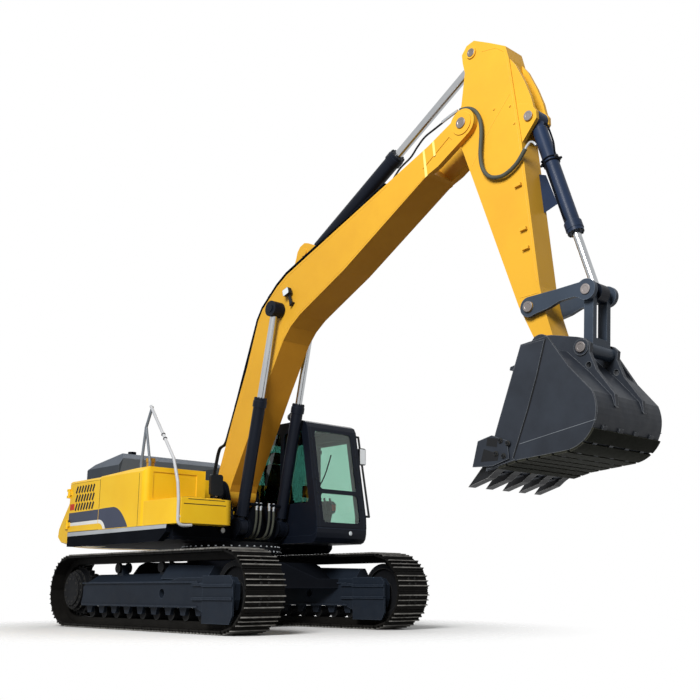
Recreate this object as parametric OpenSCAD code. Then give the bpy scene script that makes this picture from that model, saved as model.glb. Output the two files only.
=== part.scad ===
// Tracked excavator of the 36-tonne class, in millimetres.
// x is forward, y is left, z is up, and the ground is z = 0.
// Machine sizes are measured from the slew axis, and the whole is then moved so that x = 0 is mid-length.

/* [Overall] */
// Foremost point of the parked bucket, from the slew axis
front_reach = 6783; // [6000:1:8000]
// Rear of the counterweight, from the slew axis
tail_reach = 3450; // [2800:10:3800]

/* [Tracks] */
// Distance between the two tracks' middles
track_gauge = 2590; // [2000:10:2900]
// Width of one shoe
shoe_width = 600; // [500:50:900]
// Distance between sprocket axle and idler axle
tumbler_distance = 3990; // [3400:10:4400]
// Shoes along each straight run
straight_shoes = 18; // [14:1:24]
// Shoes around each end
arc_shoes = 6; // [5:1:9]
// Height of one grouser bar
grouser_height = 32; // [15:1:60]
// Thickness of a shoe plate
shoe_thickness = 16; // [8:1:30]
// Chain link from its pins' line to the shoe, and from the pins' line to the rail
link_out = 50; // [30:1:70]
link_in = 45; // [30:1:70]
// Width of the chain
chain_width = 196; // [120:2:260]

/* [Upper structure] */
// Underside of the revolving frame
deck_z = 1200; // [1000:10:1400]
// Half the width of the upper structure
upper_half = 1495; // [1300:5:1600]
// Height of the side panels' lower edge
panel_z = 1400; // [1300:10:1500]
// Height of the side panels' upper edge
cowl_z = 2185; // [2000:10:2300]
// Front of the counterweight
weight_front = -2250; // [-2400:10:-1900]
// Seam between pump door and tank
tank_rear = -1320; // [-1500:10:-1000]
// Front face of the tank
tank_front = -50; // [-200:10:100]
// Top of the tank
tank_top = 2240; // [2100:10:2400]
// Thickness of doors and panels
panel_t = 40; // [20:2:60]

/* [Cab] */
// Right wall of the cab
cab_right = 455; // [400:5:600]
// Left wall of the cab
cab_left = 1440; // [1300:5:1500]
// Top of the cab's roof
cab_top = 2985; // [2800:5:3200]
// Wall thickness of the cab
cab_wall = 60; // [40:2:90]

/* [Boom and arm] */
// Boom length from foot pin to arm pin
boom_length = 6390; // [5500:10:7000]
// Boom angle above level in the parked pose
boom_angle = 41.39; // [-30:0.01:60]
// Half the width of the boom
boom_half = 245; // [200:5:400]
// Arm length from boom pin to bucket pin
arm_length = 3220; // [2400:10:4200]
// Arm angle in the parked pose
arm_angle = -71.11; // [-160:0.01:20]
// Half the width of the arm
arm_half = 165; // [150:5:260]
// Angle of the bucket's tooth line in the parked pose
bucket_angle = -117.5; // [-230:0.1:-40]
// Half the width of the bucket
bucket_half = 700; // [450:10:900]

/* [Hidden] */
$fn = 48;
node = "all";
centre_x = (front_reach - tail_reach) / 2;
pin_gap = 0.5;
side_gap = 6;

// Pins in the machine's side view, x and z
boom_foot = [70, 1918];
boom_ram_foot = [680, 1406];

// Pins on the boom, along and across the line from foot pin to arm pin
boom_ram_eye = [2665, 1050];
arm_ram_foot = [3520, 1360];

// Pins on the arm, along and across the line from boom pin to bucket pin
arm_ram_eye = [-853, 429];
bucket_ram_foot = [513, 810];
rocker_pin = [arm_length - 524, -11];
link_joint = [arm_length - 321, 700];
bucket_ear_pin = [arm_length + 266, 445];

// Common shapes

// Draws a side-view profile as a plate from y0 to y1
module plate(y0, y1) {
    translate([0, y1, 0]) rotate([90, 0, 0]) linear_extrude(y1 - y0) children();
}

// The same plate on both sides of the middle plane
module plates(y0, y1) {
    plate(y0, y1) children();
    plate(-y1, -y0) children();
}

// Round bar across the machine
module cross_bar(at, r, y0, y1) {
    translate([at[0], y1, at[1]]) rotate([90, 0, 0]) cylinder(r = r, h = y1 - y0);
}

// Round tube through a list of points, with a ball at each corner
module tube_path(p, r) {
    for (i = [0 : len(p) - 2]) {
        d = p[i + 1] - p[i];
        translate(p[i]) rotate([0, acos(d[2] / norm(d)), atan2(d[1], d[0])]) cylinder(r = r, h = norm(d), $fn = 20);
        if (i > 0) translate(p[i]) sphere(r = r * 1.04, $fn = 20);
    }
}

// Round tube swept along side-view points at one y, with a mitred ring at each point
function way(p, i) = (p[i + 1] - p[i]) / norm(p[i + 1] - p[i]);
function way_at(p, i) = i == 0 ? way(p, 0) : i == len(p) - 1 ? way(p, i - 1) :
    (way(p, i - 1) + way(p, i)) / norm(way(p, i - 1) + way(p, i));
module swept_tube(p, y, r, sides) {
    last = len(p) - 1;
    rings = [for (i = [0 : last], k = [0 : sides - 1]) let (t = way_at(p, i), a = 360 * k / sides)
        [p[i][0] - r * sin(a) * t[1], y + r * cos(a), p[i][1] + r * sin(a) * t[0]]];
    walls = [for (i = [0 : last - 1], k = [0 : sides - 1], half = [0, 1])
        let (a = i * sides + k, b = i * sides + (k + 1) % sides)
        half == 0 ? [a, a + sides, b + sides] : [a, b + sides, b]];
    first_end = [for (k = [0 : sides - 1]) k];
    last_end = [for (k = [sides - 1 : -1 : 0]) last * sides + k];
    polyhedron(rings, concat(walls, [first_end, last_end]));
}

module block(x0, x1, y0, y1, z0, z1) {
    translate([x0, y0, z0]) cube([x1 - x0, y1 - y0, z1 - z0]);
}

function turned(v, a) = [v[0] * cos(a) - v[1] * sin(a), v[0] * sin(a) + v[1] * cos(a)];
function boom_to_side(v) = boom_foot + turned(v, boom_angle);
arm_pin = boom_to_side([boom_length, 0]);
function arm_to_side(v) = arm_pin + turned(v, arm_angle);
bucket_pin = arm_to_side([arm_length, 0]);
function bearing(a, b) = atan2(b[1] - a[1], b[0] - a[0]);

module in_machine() { translate([-centre_x, 0, 0]) children(); }
module at_side(p, a) { translate([p[0], 0, p[1]]) rotate([0, -a, 0]) children(); }
module in_boom() { in_machine() at_side(boom_foot, boom_angle) children(); }
module in_arm() { in_machine() at_side(arm_pin, arm_angle) children(); }
module in_bucket() { in_machine() at_side(bucket_pin, bucket_angle) children(); }

// Undercarriage

track_pitch = tumbler_distance / straight_shoes;
chain_pin_r = track_pitch / 2 / sin(90 / arc_shoes);
axle_x = tumbler_distance / 2;
axle_z = chain_pin_r + link_out + shoe_thickness + grouser_height;
wheel_r = chain_pin_r * cos(90 / arc_shoes) - link_in;
rail_z = axle_z - chain_pin_r + link_in;
top_rail_z = axle_z + chain_pin_r - link_in;
track_y = track_gauge / 2;
roller_r = 80;
carrier_r = 70;
roller_x = [-1480, -1130, -780, -430, -80, 270, 620, 970, 1320];
carrier_x = [-840, 300];

// Places one piece on every link of the chain, x along the link and y inward
module on_links() {
    for (i = [0 : straight_shoes - 1]) {
        x = -axle_x + (i + 0.5) * track_pitch;
        translate([x, axle_z - chain_pin_r]) children();
        translate([x, axle_z + chain_pin_r]) rotate(180) children();
    }
    for (i = [0 : arc_shoes - 1], s = [-1, 1]) {
        a = (i + 0.5) * 180 / arc_shoes - 90 + (s < 0 ? 180 : 0);
        r = chain_pin_r * cos(90 / arc_shoes);
        translate([s * axle_x + r * cos(a), axle_z + r * sin(a)]) rotate(a + 90) children();
    }
}

// One shoe in section: plate with three grouser bars, outward is negative y
module shoe_section() {
    half = track_pitch / 2 - 6;
    bar = 10;
    out = -link_out - shoe_thickness;
    tip = out - grouser_height;
    g = [-0.66 * half, 0, 0.66 * half];
    polygon([
        [-half, -link_out + 4], [-half, out],
        [g[0] - bar, out], [g[0] - bar / 2, tip], [g[0] + bar / 2, tip], [g[0] + bar, out],
        [g[1] - bar, out], [g[1] - bar / 2, tip], [g[1] + bar / 2, tip], [g[1] + bar, out],
        [g[2] - bar, out], [g[2] - bar / 2, tip], [g[2] + bar / 2, tip], [g[2] + bar, out],
        [half, out], [half, -link_out + 4]
    ]);
}

module track() {
    plate(-shoe_width / 2, shoe_width / 2) on_links() shoe_section();
    plate(-chain_width / 2, chain_width / 2) on_links()
        translate([-track_pitch / 2 - 12, -link_out]) square([track_pitch + 24, link_out + link_in]);
}

// Outline of the side frame between the two runs
frame_top = 640;
frame_low = 310;
frame_half = 205;
guard_x = [1400, 1640];

module track_frame() {
    difference() {
        union() {
            plate(-frame_half, frame_half) polygon([
                [-1640, frame_low], [guard_x[0], frame_low], [guard_x[0], 690], [900, 690],
                [700, frame_top], [-1500, frame_top], [-1640, 560]
            ]);
            // Idler guard with its two ribs
            plates(130, frame_half) polygon([
                [guard_x[0] - 40, 300], [1560, 230], [2110, 300], [2150, 420], [2150, 610], [2080, 690],
                [guard_x[0] - 40, 690]
            ]);
            for (z = [410, 590])
                plate(-frame_half - 30, frame_half + 30) translate([1260, z]) square([760, 28]);
            // Posts of the carrier rollers
            for (x = carrier_x)
                plate(-post_half, post_half) polygon([
                    [x - 110, frame_top - 20], [x + 110, frame_top - 20], [x + 50, top_rail_z - carrier_r + 45],
                    [x - 50, top_rail_z - carrier_r + 45]
                ]);
            // Roller guards and final-drive cheek
            plate(-frame_half, frame_half) polygon([
                [-1640, 330], [-1640, 560], [-1760, 600], [-1800, 560], [-1800, 470], [-1760, 390]
            ]);
        }
        // Idler well
        cross_bar([axle_x, axle_z], wheel_r + 12, -130, 130);
        plate(-130, 130) translate([guard_x[0] + 60, 200]) square([700, 560]);
        // Sprocket well
        cross_bar([-axle_x, axle_z], wheel_r + 12, -400, 400);
        // Inspection holes
        cross_bar([520, 490], 62, -300, 300);
        plates(100, 300) hull() {
            translate([1780, 505]) circle(r = 38);
            translate([1880, 505]) circle(r = 38);
        }
        // Carrier axle sockets
        for (x = carrier_x) cross_bar([x, top_rail_z - carrier_r], 30 + pin_gap, -61, 61);
    }
    // Roller saddles
    for (x = roller_x)
        plates(112, 160) polygon([[x - 85, frame_low + 1], [x + 85, frame_low + 1], [x + 45, 215], [x - 45, 215]]);
}

module track_roller() {
    translate([0, 110, 0]) rotate([90, 0, 0]) cylinder(r = roller_r, h = 220);
}

post_half = 55;
module carrier_roller() {
    for (y = [-100, post_half + 1]) cross_bar([0, 0], carrier_r, y, y + 99 - post_half);
    cross_bar([0, 0], 30, -90, 90);
}

module idler() {
    difference() {
        union() {
            cross_bar([axle_x, axle_z], wheel_r, -100, 100);
            cross_bar([axle_x, axle_z], 120, -130, 130);
        }
        for (s = [-1, 1]) translate([axle_x, s * 100, axle_z]) rotate([90, 0, 0]) difference() {
            cylinder(r = wheel_r - 70, h = 80, center = true);
            cylinder(r = 130, h = 90, center = true);
        }
    }
}

tooth_count = 21;
module sprocket() {
    plate(-45, 45) translate([-axle_x, axle_z]) difference() {
        circle(r = wheel_r - 1, $fn = 84);
        for (i = [0 : tooth_count - 1]) rotate((i + 0.5) * 360 / tooth_count) translate([wheel_r + 8, 0])
            circle(r = 42, $fn = 24);
    }
}

module final_drive(s) {
    // Motor on the inside, stepped hub on the outside
    steps = [[45, 300], [120, 270], [175, 215], [205, 120]];
    for (i = [0 : len(steps) - 2])
        translate([-axle_x, s * steps[i][0], axle_z]) rotate([-s * 90, 0, 0])
            cylinder(r = steps[i][1], h = steps[i + 1][0] - steps[i][0]);
    translate([-axle_x, s * -45, axle_z]) rotate([s * 90, 0, 0]) cylinder(r = 250, h = 150);
}

module car_body() {
    leg_y = track_y - frame_half;
    difference() {
        union() {
            translate([0, 0, 560]) linear_extrude(360) polygon([
                [1180, leg_y], [760, leg_y], [330, 640], [-330, 640], [-760, leg_y], [-1180, leg_y],
                [-620, 300], [-620, -300], [-1180, -leg_y], [-760, -leg_y], [-330, -640], [330, -640],
                [760, -leg_y], [1180, -leg_y], [620, -300], [620, 300]
            ]);
            translate([0, 0, 500]) cylinder(r = 640, h = 590);
            translate([0, 0, 1050]) cylinder(r = 735, h = 40);
        }
        // Legs slope down to the side frames
        for (s = [-1, 1]) plate(-2000, 2000) polygon([[s * 700, 921], [s * 1300, 921], [s * 1300, 690], [s * 1000, 690]]);
        translate([0, 0, 400]) cylinder(r = 420, h = 600);
    }
    // Tow eyes at both ends
    for (s = [-1, 1]) plate(-40, 40) difference() {
        polygon([[s * 600, 580], [s * 600, 760], [s * 760, 760], [s * 800, 720], [s * 800, 640], [s * 740, 580]]);
        translate([s * 725, 680]) circle(r = 38);
    }
}

module slew_ring() {
    translate([0, 0, 1090]) difference() {
        union() {
            cylinder(r = 735, h = 45);
            cylinder(r = 690, h = 110);
        }
        translate([0, 0, -1]) cylinder(r = 560, h = 112);
    }
}

// Upper structure

beam_t = 95;
bracket_t = 28;
ram_y = boom_half + 110;
ram_eye_half = 58;
bracket_y = [boom_half + side_gap, boom_half + side_gap + bracket_t];
lug_y = [ram_y + ram_eye_half + side_gap, ram_y + ram_eye_half + side_gap + 24];
pin_r = 55;
lug_r = 125;
frame_front = 590;

// Plate from the floor up to a round end about a pin
module lug_profile(at, r, x0, x1) {
    hull() {
        translate(at) circle(r = r);
        translate([x0, deck_z + 10]) square([x1 - x0, 20]);
    }
}

// The same round bar on both sides of the middle plane
module cross_bars(at, r, y0, y1) {
    cross_bar(at, r, y0, y1);
    cross_bar(at, r, -y1, -y0);
}

tail_length = 500;
tail_half = 800;
module revolving_frame() {
    inner = upper_half - beam_t;
    ram_neck = ram_y - ram_eye_half - side_gap;
    difference() {
        union() {
            // Floor plate with a narrower tail under the counterweight
            block(weight_front, frame_front, -inner, inner, deck_z, deck_z + 40);
            block(weight_front - tail_length, weight_front + 1, -tail_half, tail_half, deck_z, deck_z + 40);
            // Side beams, lower beside the cab, with a slanting front end on the right
            plate(-upper_half, -inner) polygon([
                [weight_front, deck_z - 20], [360, deck_z - 20], [530, deck_z + 100], [560, panel_z],
                [weight_front, panel_z]
            ]);
            plate(inner, upper_half) polygon([
                [weight_front, deck_z - 20], [-250, deck_z - 20], [-130, deck_z - 100], [540, deck_z - 100],
                [frame_front, deck_z - 50], [frame_front, panel_z - 140], [cab_rear, panel_z - 140],
                [cab_rear, panel_z], [weight_front, panel_z]
            ]);
            block(460, 560, -inner, -bracket_y[1], deck_z + 40, panel_z);
            // Boom brackets: a tall lug for the foot pin and a low one for the cylinders
            plates(bracket_y[0], bracket_y[1]) {
                lug_profile(boom_foot, 190, boom_foot[0] - 630, boom_foot[0] + 420);
                lug_profile(boom_ram_foot, lug_r, boom_foot[0], frame_front);
            }
            cross_bars(boom_foot, 150, bracket_y[1] - 1, bracket_y[1] + 50);
            // Outer lugs of the boom cylinders
            plates(lug_y[0], lug_y[1]) lug_profile(boom_ram_foot, lug_r, boom_ram_foot[0] - 280, frame_front);
            cross_bars(boom_ram_foot, 100, bracket_y[1] - 1, ram_neck);
            // Pins
            cross_bar(boom_foot, pin_r, -bracket_y[1] - 70, bracket_y[1] + 70);
            cross_bars(boom_ram_foot, pin_r, bracket_y[0] + 5, lug_y[1] + 2);
            // Cross plate between the brackets
            block(boom_foot[0] - 610, boom_foot[0] - 570, -bracket_y[0] - 1, bracket_y[0] + 1, deck_z + 10, 1420);
        }
        // Hole over the slew ring
        translate([0, 0, deck_z - 1]) cylinder(r = 225, h = 60);
    }
}

// Counterweight: a revolved outline cut to the machine's width
weight_side = -2560;
weight_bow = tail_reach + weight_side;
weight_r = (pow(upper_half, 2) + pow(weight_bow, 2)) / (2 * weight_bow);
lift_at = [-2900, 900];

module counterweight() {
    low = deck_z;
    difference() {
        intersection() {
            block(weight_front - 1400, weight_front, -upper_half, upper_half, low, cowl_z);
            // Outline from the belly up to the sloping top edge
            translate([weight_r - tail_reach, 0, 0]) rotate_extrude($fn = 96) polygon([
                [0, low], [weight_r - 210, low], [weight_r - 50, low + 60], [weight_r, low + 140],
                [weight_r - 10, low + 260], [weight_r - 225, cowl_z - 70], [weight_r - 280, cowl_z], [0, cowl_z]
            ]);
        }
        // Seat of the frame's tail
        block(weight_front - tail_length - 0.3, weight_front + 1, -tail_half - 0.3, tail_half + 0.3, low - 1, deck_z + 40);
        // Lifting sockets
        for (s = [-1, 1]) translate([lift_at[0], s * lift_at[1], cowl_z - 260]) cylinder(r = 60, h = 300);
    }
    hood_hinge_fixed();
    for (s = [-1, 1]) hinge_fixed(weight_front, s * (upper_half + hinge_out), s, -1, hinge_z, 150);
}

module engine_block() {
    block(weight_front + 60, tank_rear - 60, -640, 640, deck_z + 40, cowl_z - 100);
}

hood_x = [-2600, -1600];
hood_half = 1040;
hood_top = 2640;

// Cuts the outer upper edge of a panel on side s to a slanting shoulder
module shoulder_cut(x0, x1, s, top, wide) {
    along_x(x0, x1) polygon([
        [s * (upper_half + 10), top - wide - 10], [s * (upper_half - wide - 10), top + 10], [s * (upper_half + 10), top + 10]
    ]);
}

module engine_cowl() {
    difference() {
        union() {
            block(weight_front, -600, -upper_half, upper_half, cowl_z - panel_t, cowl_z);
            block(-640, -600, -465, upper_half, deck_z + 40, cowl_z - panel_t + 1);
        }
        // Opening under the hood, and room for the tank
        block(weight_front + 60, hood_x[1] - 60, -hood_half + 60, hood_half - 60, cowl_z - 100, cowl_z + 50);
        block(tank_rear, 0, -upper_half - 1, -470, 1000, 2500);
        block(-641, 0, upper_half - beam_t, upper_half + 1, 1000, panel_z);
        for (s = [-1, 1]) shoulder_cut(weight_front - 1, -599, s, cowl_z, 30);
    }
    hinge_fixed(-640, upper_half + hinge_out, 1, 0.5, hinge_z);
}

// Box open below, its ends and sides bevelled towards the top
module hood_shape(d) {
    intersection() {
        plate(-hood_half + d, hood_half - d) polygon([
            [hood_x[0] + d, cowl_z + 5], [hood_x[0] + d, cowl_z + 240], [hood_x[0] + 160 + d / 2, hood_top - 130 - d],
            [hood_x[1] - 130 - d / 2, hood_top - d], [hood_x[1] - d, hood_top - 90 - d], [hood_x[1] - d, cowl_z + 5]
        ]);
        translate([hood_x[0], 0, 0]) rotate([90, 0, 90]) linear_extrude(hood_x[1] - hood_x[0]) polygon([
            [-hood_half + d, cowl_z], [-hood_half + d, hood_top - 200], [-hood_half + 130 + d / 2, hood_top],
            [hood_half - 130 - d / 2, hood_top], [hood_half - d, hood_top - 200], [hood_half - d, cowl_z]
        ]);
    }
}

exhaust_at = [-1900, -640];
exhaust_r = 65;
hood_hinge = [hood_x[0] - 24, cowl_z + 24];
hinge_pin = 12;
knuckle = 24;

// Hinge along y: the fixed half has the pin, the moving half turns on it
module hood_hinge_fixed() {
    for (y = [-700, 700]) {
        cross_bar(hood_hinge, hinge_pin, y - 90, y + 90);
        for (d = [-90, 40.3]) {
            cross_bar(hood_hinge, knuckle, y + d, y + d + 49.7);
            block(hood_hinge[0] - knuckle, hood_hinge[0] + knuckle, y + d, y + d + 49.7, cowl_z, hood_hinge[1]);
        }
    }
}

module engine_hood() {
    difference() {
        union() {
            difference() {
                hood_shape(0);
                translate([0, 0, -30]) hood_shape(30);
            }
            for (y = [-700, 700]) {
                cross_bar(hood_hinge, knuckle, y - 40, y + 40);
                block(hood_hinge[0], hood_x[0] + 10, y - 40, y + 40, hood_hinge[1], hood_hinge[1] + 60);
            }
        }
        translate([exhaust_at[0], exhaust_at[1], cowl_z]) cylinder(r = exhaust_r + 0.3, h = 600);
        for (y = [-700, 700]) cross_bar(hood_hinge, hinge_pin + 0.3, y - 100, y + 100);
    }
}

module exhaust() {
    translate([exhaust_at[0], exhaust_at[1], hood_top - 90]) difference() {
        cylinder(r = exhaust_r, h = 150);
        translate([0, 0, 60]) cylinder(r = exhaust_r - 10, h = 100);
    }
}

module tank_housing() {
    difference() {
        intersection() {
            translate([0, 0, deck_z + 40]) linear_extrude(tank_top) difference() {
                translate([tank_rear + 2, -upper_half]) square([tank_front - tank_rear - 2, upper_half - 470]);
                // Rounded front corner
                translate([tank_front - 90, -upper_half]) difference() {
                    translate([0, -1]) square([91, 91]);
                    translate([0, 90]) circle(r = 90);
                }
            }
            // Top that falls towards the pump door
            plate(-upper_half - 50, -400) polygon([
                [tank_rear - 50, deck_z], [tank_front + 50, deck_z], [tank_front + 50, tank_top], [-430, tank_top],
                [tank_rear - 50, cowl_z + 5]
            ]);
        }
        shoulder_cut(tank_rear - 10, tank_front + 10, -1, tank_top, 65);
        block(tank_rear - 10, 10, -upper_half - 1, -upper_half + beam_t, 1000, panel_z);
        // Panel joint
        block(-172, -166, -upper_half - 1, -upper_half + 8, panel_z, 3000);
        // Recessed panel on the front face
        block(tank_front - 14, tank_front + 1, -1360, -620, 1800, 2170);
    }
}

step_side = -upper_half - 5;
module step_box() {
    difference() {
        block(tank_front, 900, step_side, -610, panel_z, 1740);
        translate([0, 0, 1000]) linear_extrude(1000) translate([900 - 160, -610 - 160]) difference() {
            square([161, 161]);
            circle(r = 160);
        }
        block(tank_front, 561, -upper_half - 10, -upper_half, panel_z - 1, panel_z + 1);
    }
    // Tread strips
    for (y = [step_side + 100, step_side + 440]) block(80, 860, y, y + 240, 1739, 1752);
}

// Upright hinge outside a panel: two fixed knuckles carry the pin, the middle one turns
hinge_out = 20;
hinge_z = [1520, 2000];
module hinge_fixed(x, y, side, toward, heights, deep = 0) {
    for (z = heights) {
        translate([x, y, z - 70]) cylinder(r = 9, h = 140, $fn = 24);
        for (d = [-70, 30.3]) {
            translate([x, y, z + d]) cylinder(r = hinge_out - 1, h = 39.7, $fn = 32);
            block(min(x, x + toward * 70), max(x, x + toward * 70), y - (side > 0 ? hinge_out + deep : 0),
                y + (side > 0 ? 0 : hinge_out + deep), z + d, z + d + 39.7);
        }
    }
}

module hinge_moving(x, y, side, toward, heights) {
    for (z = heights) difference() {
        union() {
            translate([x, y, z - 30]) cylinder(r = hinge_out - 1, h = 60, $fn = 32);
            block(min(x, x - toward * 70), max(x, x - toward * 70), y - (side > 0 ? hinge_out : 0),
                y + (side > 0 ? 0 : hinge_out), z - 30, z + 30);
        }
        translate([x, y, z - 40]) cylinder(r = 9.3, h = 80, $fn = 24);
    }
}

slot_z = 1735;
slot_row = 132;
slot_height = 105;
module side_door(x0, x1, s, slots, hinge_x, toward) {
    y0 = s > 0 ? upper_half - panel_t : -upper_half;
    difference() {
        block(x0 + 5, x1 - 5, y0, y0 + panel_t, panel_z + 5, cowl_z - panel_t - 5);
        if (slots) for (row = [0 : 2], i = [0 : 6])
            translate([x0 + 190 + i * (x1 - x0 - 330) / 7, y0 - 1, slot_z + row * slot_row]) rotate([0, 25, 0])
                cube([30, panel_t + 2, slot_height]);
    }
    hinge_moving(hinge_x, s * (upper_half + hinge_out), s, toward, hinge_z);
}

// Grab rail: a split post on the tank, then a long tube down past the step box
module handrails() {
    r = 21;
    post_y = -upper_half + 95;
    tube_y = -upper_half - 30;
    knee = [-250, post_y, 2820];
    apex = [-110, post_y, 3100];
    foot_z = tank_top + 60;
    tube_path([[-330, post_y, tank_top], [-330, post_y, foot_z], knee, apex, [60, tube_y, 3075], [710, tube_y, 2270], [835, tube_y, 1940],
        [870, tube_y, 1700], [870, tube_y, 1480], [870, step_side, 1480]], r);
    tube_path([[-100, post_y, tank_top], [-100, post_y, foot_z], [-238, post_y, 2815]], r * 0.9);
}

module filler_cap() {
    translate([-262, -1290, tank_top]) {
        cylinder(r = 58, h = 85);
        translate([0, 0, 84]) cylinder(r = 68, h = 55);
    }
}

module right_mirror() {
    mirror_x = 450;
    tube_path([[mirror_x, -660, 1740], [mirror_x, -660, 1900]], 16);
    translate([mirror_x - 20, 0, 0]) rotate([90, 0, 90]) linear_extrude(50) translate([-740, 1840])
        offset(r = 40) offset(delta = -40) square([210, 300]);
}

// Work lamp on the frame's front plate, under the step box
work_lamp = [560, -608, 1345];
module work_lamps() {
    translate(work_lamp) rotate([0, 90, 0]) {
        cylinder(r = 24, h = 22);
        translate([0, 0, 21]) cylinder(r = 42, h = 38);
    }
}

// Cab

cab_rear = -460;
cab_floor = deck_z + 90;
sill_z = 1480;
bar_z = [1900, 1960];
window_top = 2830;
pillar = 125;
window_corner = 60;
panel_gap = 0.3;
pane = 10;
cab_profile = [
    [cab_rear, cab_floor], [1300, cab_floor], [1385, cab_floor + 40], [1410, cab_floor + 130], [1405, 1560],
    [1180, cab_top - 105], [1140, cab_top - 35], [1060, cab_top], [-360, cab_top], [-430, cab_top - 30],
    [cab_rear, cab_top - 105]
];
door_profile = [[300, 1420], [1290, 1420], [1290, 1600], [1090, 2800], [300, 2800]];
cab_hinge_z = [1560, 2660];

// Window outlines with rounded corners
module rounded(r) { offset(r = r) offset(delta = -r) children(); }
module right_window() {
    rounded(window_corner) polygon([[-330, 1760], [560, 1760], [560, window_top], [-330, window_top]]);
    rounded(window_corner) polygon([[640, 1760], [1230, 1760], [1050, window_top], [640, window_top]]);
}
module left_window() { rounded(window_corner) translate([-350, 1900]) square([560, window_top - 1900]); }
module front_window(z0, z1) { rounded(window_corner) translate([cab_right + pillar, z0]) square([cab_left - cab_right - 2 * pillar, z1 - z0]); }
module rear_window() { rounded(window_corner) translate([cab_right + 120, 2000]) square([cab_left - cab_right - 240, window_top - 2000]); }
module roof_window() { rounded(window_corner) translate([250, cab_right + 150]) square([650, cab_left - cab_right - 300]); }

// Extrudes an outline in y and z along x
module along_x(x0, x1) { translate([x0, 0, 0]) rotate([90, 0, 90]) linear_extrude(x1 - x0) children(); }

// Wall that follows the profile between the two sides, cut to a range of heights
module cab_ring(x0, x1, z0, z1) {
    intersection() {
        plate(cab_right + cab_wall, cab_left - cab_wall) difference() {
            polygon(cab_profile);
            offset(delta = -cab_wall) polygon(cab_profile);
        }
        block(x0, x1, cab_right, cab_left, z0, z1);
    }
}

module cab_floor_pan() {
    cab_ring(-2000, 2000, 0, cab_floor + cab_wall);
    // Rubber mounts
    for (x = [-300, 430], y = [cab_right + 120, cab_left - 120])
        translate([x, y, deck_z + 40]) cylinder(r = 55, h = cab_floor - deck_z - 39);
}

module cab_roof() {
    difference() {
        cab_ring(-2000, 2000, cab_top - cab_wall, 4000);
        translate([0, 0, cab_top - 90]) linear_extrude(100) roof_window();
    }
}

// Windscreen frame: pillars, sill, header and the bar between the two panes
module cab_front() {
    difference() {
        cab_ring(900, 2000, cab_floor + cab_wall + panel_gap, cab_top - cab_wall - panel_gap);
        along_x(1000, 1600) front_window(bar_z[1], window_top);
        along_x(1200, 1600) front_window(sill_z, bar_z[0]);
    }
}

module cab_rear_wall() {
    difference() {
        cab_ring(-2000, 0, cab_floor + cab_wall + panel_gap, cab_top - cab_wall - panel_gap);
        along_x(cab_rear - 1, cab_rear + 90) rear_window();
    }
}

module cab_right_side() {
    plate(cab_right, cab_right + cab_wall) difference() {
        polygon(cab_profile);
        right_window();
    }
}

module cab_left_side() {
    plate(cab_left - cab_wall, cab_left) difference() {
        polygon(cab_profile);
        polygon(door_profile);
        left_window();
    }
    hinge_fixed(door_profile[0][0], cab_left + hinge_out, 1, -1, cab_hinge_z);
}

module cab_glass() {
    // Front panes lie in the slope of the windscreen
    for (z = [[sill_z, bar_z[0]], [bar_z[1], window_top]]) intersection() {
        plate(cab_right + pillar, cab_left - pillar) difference() {
            offset(delta = -12) polygon(cab_profile);
            offset(delta = -12 - pane) polygon(cab_profile);
        }
        along_x(1000, 1600) front_window(z[0], z[1]);
    }
    plate(cab_right + 20, cab_right + 20 + pane) right_window();
    plate(cab_left - 30, cab_left - 30 + pane) left_window();
    along_x(cab_rear + 20, cab_rear + 20 + pane) rear_window();
    translate([0, 0, cab_top - 30]) linear_extrude(pane) roof_window();
}

module cab_door() {
    difference() {
        plate(cab_left - cab_wall, cab_left) offset(delta = -6) polygon(door_profile);
        plate(cab_left - cab_wall - 1, cab_left + 1) offset(delta = -70) polygon(door_profile);
    }
    hinge_moving(door_profile[0][0], cab_left + hinge_out, 1, -1, cab_hinge_z);
}

module cab_door_glass() {
    plate(cab_left - 35, cab_left - 25) offset(delta = -70) polygon(door_profile);
}

// Seat on its pedestal, in the middle of the cab
module cab_seat() {
    y0 = (cab_left + cab_right) / 2 - 235;
    y1 = y0 + 470;
    block(-60, 420, y0 + 60, y1 - 60, cab_floor + cab_wall, 1640);
    plate(y0, y1) rounded(50) translate([-100, 1639]) square([560, 151]);
    plate(y0, y1) polygon([[-60, 1789], [80, 1789], [-40, 2480], [-170, 2480]]);
    plate(y0 + 100, y1 - 100) polygon([[-150, 2479], [-50, 2479], [-75, 2660], [-170, 2660]]);
}

// Side consoles with joysticks, and two travel levers with pedals
module cab_controls() {
    mid = (cab_left + cab_right) / 2;
    for (s = [-1, 1]) {
        block(0, 620, mid + s * 305 - 55, mid + s * 305 + 55, cab_floor + cab_wall, 1840);
        tube_path([[540, mid + s * 305, 1839], [580, mid + s * 305, 2010]], 18);
        tube_path([[900, mid + s * 70, cab_floor + cab_wall], [900, mid + s * 70, 1750]], 16);
    }
}

// Loop along the front left pillar, with the mirror on it
module cab_grab_rail() {
    r = 17;
    out = cab_left + 100;
    tube_path([[1130, cab_left, 2830], [1130, out, 2830], [1360, out, 1600], [1360, cab_left, 1600]], r);
    along_x(1175, 1225) rounded(30) translate([out - 60, 2390]) square([130, 260]);
}

// Boom

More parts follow.
